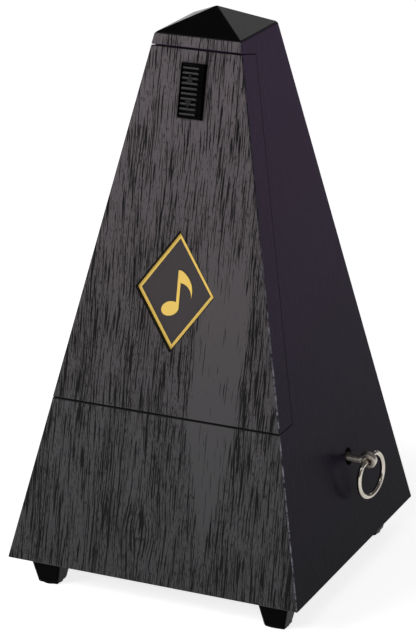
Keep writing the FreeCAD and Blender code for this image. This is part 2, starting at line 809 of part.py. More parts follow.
def wheel_train():
    """The barrel, the second arbor and the escape arbor with their wheels and pinions."""
    to_second = heading(barrel_axis, second_axis)
    to_escape = heading(second_axis, escape_axis)
    half_tooth_second = 180 / value("second_pinion_teeth")
    half_tooth_escape = 180 / value("escape_pinion_teeth")
    bore = "shaft_radius + running_gap"
    inside = "barrel_radius - barrel_wall"
    great = gear("great_wheel", train_frame(*barrel_axis, to_second), "wheel_teeth",
                 "great_module", "3", "2", bore)
    drum = turned("barrel_drum", BARREL, [
        ("5", bore), ("5", "barrel_radius"), ("17", "barrel_radius"), ("17", inside),
        ("6", inside), ("6", bore)])
    lid = turned("barrel_cover", BARREL, [
        ("17", bore), ("17", "barrel_radius"), ("18", "barrel_radius"), ("18", bore)])
    second_arbor = turned("second_arbor", SECOND, [
        ("-arbor_end", "0"), ("-arbor_end", "arbor_pivot_radius"),
        ("-arbor_shoulder", "arbor_pivot_radius"), ("-arbor_shoulder", "arbor_radius"),
        ("arbor_shoulder", "arbor_radius"), ("arbor_shoulder", "arbor_pivot_radius"),
        ("arbor_end", "arbor_pivot_radius"), ("arbor_end", "0")])
    second_pinion = gear(
        "second_pinion", train_frame(*second_axis, to_second + 180 + half_tooth_second),
        "second_pinion_teeth", "great_module", "2.5", "3", "arbor_radius + fit_gap")
    second_wheel = gear("second_wheel", train_frame(*second_axis, to_escape), "wheel_teeth",
                        "second_module", "-14", "1.5", "arbor_radius + fit_gap")
    escape_arbor = turned("escape_arbor", ESCAPE, [
        ("-arbor_end", "0"), ("-arbor_end", "escape_pivot_radius"),
        ("-arbor_shoulder", "escape_pivot_radius"), ("-arbor_shoulder", "escape_radius"),
        ("-4.2", "escape_radius"), ("-4.2", "escape_pivot_radius"),
        ("-2.7", "escape_pivot_radius"), ("-2.7", "0")])
    escape_pinion = gear(
        "escape_pinion", train_frame(*escape_axis, to_escape + 180 + half_tooth_escape),
        "escape_pinion_teeth", "second_module", "-15", "3.5", "escape_radius + fit_gap")
    return [great, drum, lid, mainspring(), second_arbor, second_pinion, second_wheel,
            escape_arbor, escape_pinion, crown_wheel()]


# ---------------------------------------------------------------- movement frame


PILLAR_PLACES = [
    ("frame_front + pillar_inset", "pillar_low"), ("frame_back - pillar_inset", "pillar_low"),
    ("frame_back - pillar_inset", "frame_top - 5"), ("frame_front + pillar_inset", "frame_top - 5"),
]


def frame_plate(side, sign):
    """One side plate of the movement, with its foot bent outwards and its bearing holes."""
    floor = "foot_height + plate_thickness"
    low = "frame_inner" if sign > 0 else "-frame_inner - frame_thickness"
    holes = [(y, z, "pillar_end_radius + running_gap") for y, z in PILLAR_PLACES]
    holes.append((str(second_axis[0]), str(second_axis[1]), "arbor_pivot_radius + running_gap"))
    if sign > 0:
        holes.append(("shaft_depth", "shaft_rise", "shaft_radius + running_gap"))
    else:
        holes.append(("shaft_depth", "shaft_rise", "arbor_radius + running_gap"))
        holes.append((str(escape_axis[0]), str(escape_axis[1]),
                      "escape_pivot_radius + running_gap"))
    web = plate(f"{side}_plate_web", PLAIN, "YZ_Plane", low, "frame_thickness", [
        ("frame_front", floor), ("frame_back", floor), ("frame_back", "frame_top - frame_chamfer"),
        ("frame_back - frame_chamfer", "frame_top"), ("frame_front + frame_chamfer", "frame_top"),
        ("frame_front", "frame_top - frame_chamfer")], holes)
    foot_low = "frame_inner" if sign > 0 else "-frame_inner - frame_thickness - flange_width"
    foot_high = f"{foot_low} + frame_thickness + flange_width"
    screw_holes = [(x, y, "screw_radius + running_gap")
                   for name, x, y in movement_screw_places() if name.endswith(side)]
    bent_foot = plate(f"{side}_plate_foot", PLAIN, "XY_Plane", floor, "frame_thickness", [
        (foot_low, "frame_front"), (foot_high, "frame_front"), (foot_high, "frame_back"),
        (foot_low, "frame_back")], screw_holes)
    whole = fuse(f"{side}_plate", [web, bent_foot])
    whole.Placement = CASE
    return whole


def pillars():
    """Four pillars that space the plates, with their thin ends through the plates, and nuts."""
    rods, nuts = [], []
    for number, (y, z) in enumerate(PILLAR_PLACES, start=1):
        rods.append(cylinder(f"pillar_{number}", CASE, ("-frame_inner", y, z), X_AXIS,
                             "pillar_radius", "2 * frame_inner"))
        rods.append(cylinder(f"pillar_end_{number}", CASE,
                             ("-frame_inner - frame_thickness - 2", y, z), X_AXIS,
                             "pillar_end_radius", "2 * (frame_inner + frame_thickness + 2)"))
        for side, x in (("left", "-frame_inner - frame_thickness - nut_thickness"),
                        ("right", "frame_inner + frame_thickness")):
            place = CASE.multiply(Placement(Vector(value(x), value(y), value(z)), Rotation()))
            nuts.append(turned(f"nut_{number}_{side}", place, [
                ("0", "pillar_end_radius + fit_gap"), ("0", "nut_radius"),
                ("nut_thickness", "nut_radius"), ("nut_thickness", "pillar_end_radius + fit_gap")]))
    return [fuse("plate_pillars", rods), fuse("pillar_nuts", nuts)]


def bearings():
    """The bridge in front, the cock behind and the potence that carry the two crossed arbors."""
    bridge = new_body("front_bridge", FACE)
    out, inn = "frame_inner + 2 * frame_thickness", "frame_inner + frame_thickness"
    strap = draw(bridge, "XY_Plane", "pivot_rise - 5")
    outer, inner = "bridge_depth", "bridge_depth + frame_thickness"
    outline(strap, [(f"-({out})", outer), (out, outer), (out, "bridge_reach"),
                    (inn, "bridge_reach"), (inn, inner), (f"-({inn})", inner),
                    (f"-({inn})", "bridge_reach"), (f"-({out})", "bridge_reach")])
    pad(bridge, strap, "bridge_height")
    eye = draw(bridge, "XZ_Plane", "-bridge_depth - 2.5")
    circle(eye, "0", "pivot_rise", "verge_radius + running_gap")
    cut_away(bridge, eye, "3")

    cock_blank = block("rear_cock_blank", FACE, ("-frame_inner", "cock_depth", "pivot_rise - 2.4"),
                       ("frame_inner + 2.5", "cock_thickness", "4.6"))
    cock_eye = cylinder("rear_cock_eye", FACE, ("0", "cock_depth - 0.5", "pivot_rise"), Y_AXIS,
                        "verge_pivot_radius + running_gap", "cock_thickness + 1")
    cock = cut("rear_cock", cock_blank, cock_eye)

    crown = "pivot_depth + crown_depth"
    potence = new_body("crown_potence", FACE)
    arm = draw(potence, "YZ_Plane", "-3.9")
    outline(arm, [(f"{crown} - 4", "potence_foot"), (f"{crown} + 4", "potence_foot"),
                  (f"{crown} + 4", "pivot_rise + 2.5"), (f"{crown} - 4", "pivot_rise + 2.5")])
    circle(arm, crown, "pivot_rise", "escape_pivot_radius + running_gap")
    pad(potence, arm, "1.5")
    heel = draw(potence, "YZ_Plane", "-frame_inner")
    outline(heel, [(f"{crown} - 4", "potence_foot"), (f"{crown} + 4", "potence_foot"),
                   (f"{crown} + 4", "potence_foot + 4"), (f"{crown} - 4", "potence_foot + 4")])
    pad(potence, heel, "frame_inner - 3")
    return [bridge, cock, potence]


# ---------------------------------------------------------------- winding


def winding_arbor():
    """The winding shaft: it carries the barrel and is hollow at the end for the key."""
    return turned("winding_arbor", BARREL, [
        ("-arbor_end", "0"), ("-arbor_end", "arbor_radius"),
        ("-arbor_shoulder", "arbor_radius"), ("-arbor_shoulder", "shaft_radius"),
        ("35", "shaft_radius"), ("35", "key_radius + fit_gap"), ("25", "key_radius + fit_gap"),
        ("25", "0")])


def key_shank():
    """The key's shank and the round lug on its end, drilled for the bow."""
    body = turned("key_shank", train_frame(*barrel_axis, value("lug_roll")), [
        ("25.3", "0"), ("25.3", "key_radius"), ("key_reach - 2.5", "key_radius"),
        ("key_reach - 2.5", "0")])
    lug = draw(body, "XZ_Plane", "-lug_thickness / 2")
    circle(lug, "key_reach", "0", "lug_radius")
    circle(lug, "key_reach", "0", "lug_hole_radius")
    pad(body, lug, "lug_thickness")
    return body


def key_bow():
    """The wire bow: a round loop whose two ends bend in to meet inside the lug."""
    yaw, roll = math.radians(value("bow_yaw")), math.radians(value("lug_roll"))
    along = Vector(math.sin(yaw), math.cos(yaw) * math.cos(roll), math.cos(yaw) * math.sin(roll))
    across = Vector(math.cos(yaw), -math.sin(yaw), 0)
    hang = along.cross(across).normalize()
    start = Vector(value("key_reach"), *barrel_axis)
    frame = CASE.multiply(Placement(start, Rotation(along, Vector(), -hang, "XZY")))
    body = new_body("key_bow", frame)
    big, small, drop = value("bow_radius"), value("bow_bend"), value("bow_drop")
    reach = math.sqrt((big - small) ** 2 - (drop - small) ** 2)
    touch = Vector(reach, small - drop, 0).normalize() * big + Vector(0, -drop, 0)
    turn = (Vector(reach, small - drop, 0).normalize() + Vector(0, 1, 0)).normalize() * small
    path = draw(body, "XZ_Plane")
    gap = value("bow_pin_gap")

    def half_path(side):
        ends = [Vector(side * x, y, 0) for x, y in (
            (gap, 0), (reach, 0), (reach + turn.x, turn.y - small), (touch.x, touch.y))]
        return [Part.LineSegment(ends[0], ends[1]), Part.Arc(*ends[1:])]

    loop = Part.Arc(Vector(touch.x, touch.y, 0), Vector(0, -drop - big, 0),
                    Vector(-touch.x, touch.y, 0))
    for edge in half_path(1) + [loop] + half_path(-1)[::-1]:
        path.addGeometry(edge)
    profile = draw(body, "YZ_Plane", "bow_pin_gap")
    circle(profile, "0", "0", "bow_wire_radius")
    pipe = body.newObject("PartDesign::AdditivePipe", "key_bow_pipe")
    pipe.Profile = profile
    pipe.Spine = (path, [""])
    body.Tip = pipe
    return body


def click():
    """The pawl that stops the ratchet, its post on the frame and its coiled spring."""
    distance, bearing = value("click_distance"), math.radians(value("click_bearing"))
    centre = (barrel_axis[0] + distance * math.cos(bearing),
              barrel_axis[1] + distance * math.sin(bearing))

    def from_ratchet(radius, degrees):
        angle = math.radians(degrees)
        return Vector(radius * math.cos(angle) - distance * math.cos(bearing),
                      radius * math.sin(angle) - distance * math.sin(bearing), 0)

    pawl = new_body("click_pawl", train_frame(*centre))
    lever = draw(pawl, "YZ_Plane", "ratchet_level")
    free_outline(lever, [from_ratchet(6.9, 93), from_ratchet(8.7, 112), from_ratchet(10.8, 130),
                         from_ratchet(13.6, 131), from_ratchet(12.2, 118), from_ratchet(9.2, 94)])
    pad(pawl, lever, "ratchet_thickness")
    boss = draw(pawl, "YZ_Plane", "ratchet_level")
    circle(boss, "0", "0", "click_boss_radius")
    pad(pawl, boss, "ratchet_thickness")
    hole = draw(pawl, "YZ_Plane", "ratchet_level - 2.3")
    circle(hole, "0", "0", "click_post_radius + running_gap")
    cut_away(pawl, hole, "6")
    post = turned("click_post", train_frame(*centre), [
        ("21.5", "0"), ("21.5", "2.2"), ("22.0", "2.2"), ("22.0", "click_post_radius"),
        ("26.2", "click_post_radius"), ("26.2", "2.6"), ("27.2", "2.6"), ("27.2", "0")])
    coil = turned("click_spring", train_frame(*centre), [
        ("24.0", "1.6"), ("24.0", "2.5"), ("25.6", "2.5"), ("25.6", "1.6")])
    return [pawl, post, coil]


# ---------------------------------------------------------------- pendulum


def pallet(label, start, sign):
    """A pallet: a ring on the verge with one flat flag that stands out at an angle."""
    body = new_body(label, VERGE)
    ring = draw(body, "YZ_Plane", start)
    circle(ring, "0", "0", "2.2")
    circle(ring, "0", "0", "verge_radius + fit_gap")
    pad(body, ring, "pallet_width")
    flag = draw(body, "YZ_Plane", start)
    angle = math.radians(sign * value("pallet_angle"))
    reach, half = value("pallet_reach"), value("pallet_thickness") / 2
    out = Vector(math.cos(angle), math.sin(angle), 0)
    side = Vector(-out.y, out.x, 0)
    free_outline(flag, [out * 1.7 + side * half, out * reach + side * half,
                        out * reach - side * half, out * 1.7 - side * half])
    pad(body, flag, "pallet_width")
    return body


def pendulum_rod():
    """The flat rod: it tapers at both ends and is notched along one edge."""
    half = "rod_width / 2"
    rod = plate("pendulum_rod", FACE, "XZ_Plane", "pivot_depth - rod_thickness / 2",
                "rod_thickness", [
                    (f"-{half}", "rod_bottom"), (half, "rod_bottom"), (half, "rod_top - 8"),
                    ("1.1", "rod_top"), ("-1.1", "rod_top"), (f"-{half}", "rod_top - 8")],
                [("0", "pivot_rise", "verge_radius + fit_gap")])
    notch = draw(rod, "XZ_Plane", "-pivot_depth - rod_thickness")
    outline(notch, [("1.6", "weight_rise - 21"), ("2.6", "weight_rise - 21"),
                    ("2.6", "weight_rise - 20")])
    first = cut_away(rod, notch, "2 * rod_thickness")
    pattern = rod.newObject("PartDesign::LinearPattern", "rod_notches")
    pattern.Originals = [first]
    pattern.Direction = (origin_of(rod, "Z_Axis"), [""])
    bind(pattern, "Length", "notch_pitch * (notch_count - 1)")
    bind(pattern, "Occurrences", "notch_count")
    rod.Tip = pattern
    return rod


def pendulum():
    """The verge with its pallets, the rod riveted to its front end, and the lower bob."""
    verge = turned("verge_arbor", VERGE, [
        ("-1.6", "0"), ("-1.6", "verge_radius"), ("47.6", "verge_radius"),
        ("47.6", "verge_pivot_radius"), ("51.6", "verge_pivot_radius"), ("51.6", "0")])
    reach = "crown_depth + (%s) * crown_radius - pallet_width / 2"
    pallets = [pallet("front_pallet", reach % "0 - 1", 1), pallet("rear_pallet", reach % "1", -1)]
    collet = turned("pendulum_collet", VERGE, [
        ("0.4", "verge_radius + fit_gap"), ("0.4", "3"), ("3.4", "3"),
        ("3.4", "verge_radius + fit_gap")])
    nut = turned("pendulum_nut", VERGE, [
        ("-1.4", "verge_radius + fit_gap"), ("-1.4", "2.4"), ("-0.4", "2.4"),
        ("-0.4", "verge_radius + fit_gap")])
    drop = upslope * -value("bob_drop")
    bob = turned("lower_bob", Placement(VERGE.Base + drop, VERGE.Rotation), [
        ("bob_start", "0"), ("bob_start", "bob_radius - 1"), ("bob_start + 1", "bob_radius"),
        ("bob_start + bob_thickness - 1", "bob_radius"),
        ("bob_start + bob_thickness", "bob_radius - 1"), ("bob_start + bob_thickness", "0")])
    return [verge] + pallets + [collet, nut, pendulum_rod(), bob]


def sliding_weight():
    """The weight that is moved along the rod, and the leaf spring in its channel."""
    low, high = "weight_rise - weight_height / 2", "weight_rise + weight_height / 2"
    depth = "weight_back - weight_front"
    body = plate("sliding_weight", FACE, "XZ_Plane", "weight_front", depth, [
        ("-weight_bottom / 2", low), ("weight_bottom / 2", low), ("weight_top / 2", high),
        ("-weight_top / 2", high)])
    channel = draw(body, "XY_Plane", f"{low} - 1")
    half = "rod_width / 2 + seam_gap"
    front = "pivot_depth - rod_thickness / 2 - seam_gap"
    outline(channel, [(f"-({half})", front), (half, front), (half, "9.6"), (f"-({half})", "9.6")])
    cut_away(body, channel, "weight_height + 2")
    leaf = block("weight_spring", FACE, ("-1.2", "9.3", "weight_rise - 7"), ("2.4", "0.3", "14"))
    return [body, leaf]


# ---------------------------------------------------------------- scale


def board_outline(low, high, margin):
    """Corners of an upright board that follows the leaning sides of the case."""
    edge = f"{BOARD_EDGE} - {margin} - %s * sin({LEAN})"
    return [(f"-({edge % low})", low), (edge % low, low), (edge % high, high),
            (f"-({edge % high})", high)]


def scale_parts():
    """The inner board, the tempo scale on it, its screws and the rest for the rod."""
    board = plate("inner_board", FACE, "XZ_Plane", "board_depth", "board_thickness",
                  board_outline("board_bottom", "board_top", "0"))
    half = "scale_width / 2"
    scale = plate("scale_plate", FACE, "XZ_Plane", "board_depth - scale_thickness",
                  "scale_thickness",
                  [(f"-{half}", "scale_bottom"), (half, "scale_bottom"), (half, "scale_top"),
                   (f"-{half}", "scale_top")])
    heads = []
    for name, rise in (("low", "scale_bottom + 3"), ("high", "scale_top - 3")):
        level = "board_depth - scale_thickness - 0.8"
        heads.append(cylinder(f"scale_screw_{name}", FACE, ("0", level, rise), Y_AXIS, "1.5", "0.8"))
    heads = fuse("scale_screws", heads)
    rest = fuse("rod_rest", [
        block("rod_rest_base", FACE, ("-4", "board_depth - 0.6", "scale_top + 0.5"),
              ("8", "0.6", "8")),
        block("rod_rest_lip", FACE, ("-3", "pivot_depth + rod_thickness / 2 + 0.5",
                                     "scale_top + 3"),
              ("6", "board_depth - pivot_depth - rod_thickness / 2 - 0.5", "1.2")),
    ])
    return [board, scale, heads, rest]


# ---------------------------------------------------------------- build and write


def find_faults():
    """Every object that failed to build."""
    return [item.Name for item in doc.Objects
            if "Invalid" in item.State or "Error" in item.State]


def build():
    """Every piece of the metronome, as a list of document objects."""
    outer, hollow = pyramid_shell()
    pieces = [case_shell(outer, hollow), top_cap(), base_plate()]
    pieces += feet_and_screws()
    pieces += [cover_panel(hollow)] + badge() + latch()
    pieces += [frame_plate("right", 1), frame_plate("left", -1)] + pillars() + bearings()
    pieces += wheel_train()
    pieces += [winding_arbor(), ratchet_wheel(), key_shank(), key_bow()] + click()
    pieces += pendulum() + sliding_weight() + scale_parts()
    return pieces


def write(pieces):
    """Check every piece and write each to its own file."""
    sheet.clear(SCRATCH_CELL)
    doc.recompute()
    faults = find_faults()
    for piece in pieces:
        shape = piece.Shape
        if shape.isNull() or not shape.isValid() or not shape.Solids:
            faults.append(piece.Label)
    if faults:
        raise RuntimeError(f"these failed to build: {sorted(set(faults))}")
    os.makedirs("parts", exist_ok=True)
    for piece in pieces:
        piece.Shape.exportStep(f"parts/{piece.Label}.step")
        print(f"{piece.Label:18s} {len(piece.Shape.Solids)} solid(s) {piece.Shape.Volume:10.1f} mm3")


write(build())
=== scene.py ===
"""Looks of a wind-up pyramid metronome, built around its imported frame.

Every piece is in metres, in the frame's own axes: +Z up, the leaning front faces -Y, the key is on +X.
Sizes inside the classes are in millimetres and are turned to metres where a mesh is made.
"""

import json
import logging
import math
from dataclasses import dataclass, field
from enum import Enum
from typing import Callable, Iterable, Sequence

import bmesh
import bpy
from mathutils import Matrix, Vector


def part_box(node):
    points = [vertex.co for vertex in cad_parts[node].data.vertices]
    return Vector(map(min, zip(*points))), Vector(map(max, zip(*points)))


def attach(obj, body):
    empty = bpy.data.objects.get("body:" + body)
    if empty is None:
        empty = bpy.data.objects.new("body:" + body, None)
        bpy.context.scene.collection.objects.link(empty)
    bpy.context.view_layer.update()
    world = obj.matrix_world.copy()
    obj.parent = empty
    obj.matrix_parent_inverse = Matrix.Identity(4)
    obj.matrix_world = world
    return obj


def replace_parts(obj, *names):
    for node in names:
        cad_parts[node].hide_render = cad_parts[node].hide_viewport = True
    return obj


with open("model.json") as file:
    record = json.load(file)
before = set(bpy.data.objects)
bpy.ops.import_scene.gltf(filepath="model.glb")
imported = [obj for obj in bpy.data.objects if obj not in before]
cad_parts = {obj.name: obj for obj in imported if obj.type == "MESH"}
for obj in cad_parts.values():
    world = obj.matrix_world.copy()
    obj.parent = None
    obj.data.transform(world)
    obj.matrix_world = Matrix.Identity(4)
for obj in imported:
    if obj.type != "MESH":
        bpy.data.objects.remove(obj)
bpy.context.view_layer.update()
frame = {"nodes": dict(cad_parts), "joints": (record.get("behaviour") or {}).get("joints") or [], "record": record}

MM = 0.001
MERGE_DISTANCE = 0.002 * MM
FLAT_WITHIN = 1.0  # degrees: neighbouring triangles closer than this are one face
log = logging.getLogger("metronome")


class Side(Enum):
    """Which way a face of the case looks, which decides its finish."""

    FRONT = "front"
    FLANK = "flank"
    # a corner whose pale line is a painted highlight
    RIDGE = "rubbed_ridge"
    INSIDE = "inside"


# ------------------------------------------------------------------ small tools


def linear(hex_colour: str) -> tuple[float, float, float, float]:
    """Turn an sRGB hex colour to linear light.

    Args:
        hex_colour: six hex digits, with or without a leading hash.

    Returns:
        Red, green, blue and an alpha of 1.
    """
    digits = hex_colour.lstrip("#")
    parts = [int(digits[i:i + 2], 16) / 255 for i in (0, 2, 4)]
    light = [p / 12.92 if p <= 0.04045 else ((p + 0.055) / 1.055) ** 2.4 for p in parts]
    return (light[0], light[1], light[2], 1.0)


def add_node(tree: bpy.types.NodeTree, kind: str, settings: dict | None = None,
             inputs: dict | None = None) -> bpy.types.Node:
    """Add a node to a tree, set it up and wire it.

    Args:
        tree: the tree that gets the node.
        kind: Blender's name of the node type.
        settings: properties of the node, by name.
        inputs: for each input, by name or number, a plain value or the socket that feeds it.

    Returns:
        The new node.
    """
    node = tree.nodes.new(kind)
    for name, setting in (settings or {}).items():
        setattr(node, name, setting)
    for name, source in (inputs or {}).items():
        socket = node.inputs[name]
        if isinstance(source, bpy.types.NodeSocket):
            tree.links.new(source, socket)
        else:
            socket.default_value = source
    return node


def maths(tree: bpy.types.NodeTree, operation: str, first: object, second: object = 0.0,
          third: object = 0.0) -> bpy.types.NodeSocket:
    """Work out one sum in a node tree.

    Args:
        tree: the tree that gets the node.
        operation: the sum, such as MULTIPLY.
        first: a number or a socket.
        second: a number or a socket.
        third: a number or a socket, for the sums that take three.

    Returns:
        The socket that carries the result.
    """
    node = add_node(tree, "ShaderNodeMath", {"operation": operation},
                    {0: first, 1: second, 2: third})
    return node.outputs[0]


def ramp(tree: bpy.types.NodeTree, factor: bpy.types.NodeSocket,
         stops: Sequence[tuple[float, str]]) -> bpy.types.NodeSocket:
    """Colour a value by stops.

    Args:
        tree: the tree that gets the node.
        factor: the value to colour.
        stops: places from 0 to 1 with their hex colours, lowest first.

    Returns:
        The colour socket.
    """
    node = add_node(tree, "ShaderNodeValToRGB", None, {"Fac": factor})
    elements = node.color_ramp.elements
    while len(elements) < len(stops):
        elements.new(0.5)
    for element, (place, colour) in zip(elements, stops):
        element.position = place
        element.color = linear(colour)
    return node.outputs["Color"]


def new_material(name: str) -> tuple[bpy.types.Material, bpy.types.NodeTree, bpy.types.Node]:
    """Make an empty material.

    Args:
        name: the finish's name.

    Returns:
        The material, its tree and its shader node.
    """
    material = bpy.data.materials.new(name)
    material.use_nodes = True
    tree = material.node_tree
    tree.nodes.clear()
    shader = add_node(tree, "ShaderNodeBsdfPrincipled")
    add_node(tree, "ShaderNodeOutputMaterial", None, {"Surface": shader.outputs[0]})
    return material, tree, shader


def placed(name: str, mesh: bpy.types.ID) -> bpy.types.Object:
    """Put a mesh or a curve in the scene as an object at the origin.

    Args:
        name: the object's name.
        mesh: the mesh or curve that it shows.

    Returns:
        The new object.
    """
    item = bpy.data.objects.new(name, mesh)
    bpy.context.scene.collection.objects.link(item)
    return item


def evaluated_mesh(item: bpy.types.Object) -> bpy.types.Mesh:
    """Read the mesh that an object shows with its modifiers, bevel and text shape applied.

    Args:
        item: an object at the origin.

    Returns:
        A new plain mesh.
    """
    bpy.context.view_layer.update()
    depsgraph = bpy.context.evaluated_depsgraph_get()
    return bpy.data.meshes.new_from_object(item.evaluated_get(depsgraph))


def meshed(item: bpy.types.Object) -> bpy.types.Mesh:
    """Turn a curve or a text into a mesh and take its object out of the scene.

    Args:
        item: the curve's or text's object, which is removed.

    Returns:
        Its mesh.
    """
    mesh = evaluated_mesh(item)
    bpy.data.objects.remove(item)
    return mesh


def settled(item: bpy.types.Object) -> bpy.types.Object:
    """Turn an object's modifiers into plain mesh.

    Args:
        item: an object at the origin whose modifiers are live.

    Returns:
        The same object with a plain mesh and no modifiers.
    """
    mesh = evaluated_mesh(item)
    item.modifiers.clear()
    item.data = mesh
    return item


def smooth_by_angle(mesh: bpy.types.Mesh, degrees: float = 35.0) -> None:
    """Shade a mesh smooth, but keep edges sharper than an angle."""
    mesh.shade_smooth()
    mesh.set_sharp_from_angle(angle=math.radians(degrees))


def is_ridge(edge: bmesh.types.BMEdge, centre: Vector) -> bool:
    """Tell whether an edge runs up one of the pyramid's four corners.

    Args:
        edge: the edge to judge.
        centre: a point on the pyramid's upright axis.

    Returns:
        True when it is long enough and both its ends lie on a diagonal.
    """
    shortest, tolerance = 8.0 * MM, 0.3 * MM
    if edge.calc_length() < shortest:
        return False
    return all(abs(abs(v.co.x - centre.x) - abs(v.co.y - centre.y)) < tolerance
               for v in edge.verts)


def rounded_copy(node: str, name: str, width: float, segments: int = 3, angle: float = 25.0,
                 flat_area: float = 6.0, ridge: float = 0.0) -> bpy.types.Object:
    """Copy a CAD node with its edges rounded as a mould or a polish rounds them.

    Args:
        node: the CAD node to copy.
        name: the new piece's name.
        width: how far the rounding reaches from an edge, in millimetres.
        segments: how many strips make the rounding.
        angle: edges sharper than this, in degrees, are rounded.
        flat_area: faces larger than this, in square millimetres, are shaded flat; 0 for none.
        ridge: how far the rounding reaches on the pyramid's corners, if that is more.

    Returns:
        The new piece, a plain mesh.
    """
    mesh = frame["nodes"][node].data.copy()
    mesh.materials.clear()
    form = bmesh.new()
    form.from_mesh(mesh)
    bmesh.ops.remove_doubles(form, verts=form.verts, dist=MERGE_DISTANCE)
    bmesh.ops.dissolve_limit(form, angle_limit=math.radians(FLAT_WITHIN), verts=form.verts,
                             edges=form.edges)
    widest = max(width, ridge)
    centre = sum((Vector(corner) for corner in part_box("top_cap")), Vector()) / 2
    weight = form.edges.layers.float.new("bevel_weight_edge")
    for edge in form.edges:
        if edge.is_manifold and edge.calc_face_angle() > math.radians(angle):
            edge[weight] = 1.0 if ridge and is_ridge(edge, centre) else width / widest
    form.to_mesh(mesh)
    form.free()
    mesh.name = name
    mesh.shade_smooth()
    piece = placed(name, mesh)
    bevel = piece.modifiers.new("rounding", "BEVEL")
    bevel.width = widest * MM
    bevel.segments = segments
    bevel.limit_method = "WEIGHT"
    bevel.use_clamp_overlap = False
    settled(piece)
    if flat_area:
        for polygon in piece.data.polygons:
            polygon.use_smooth = polygon.area < flat_area * MM * MM
    return piece


# ------------------------------------------------------------------ finishes


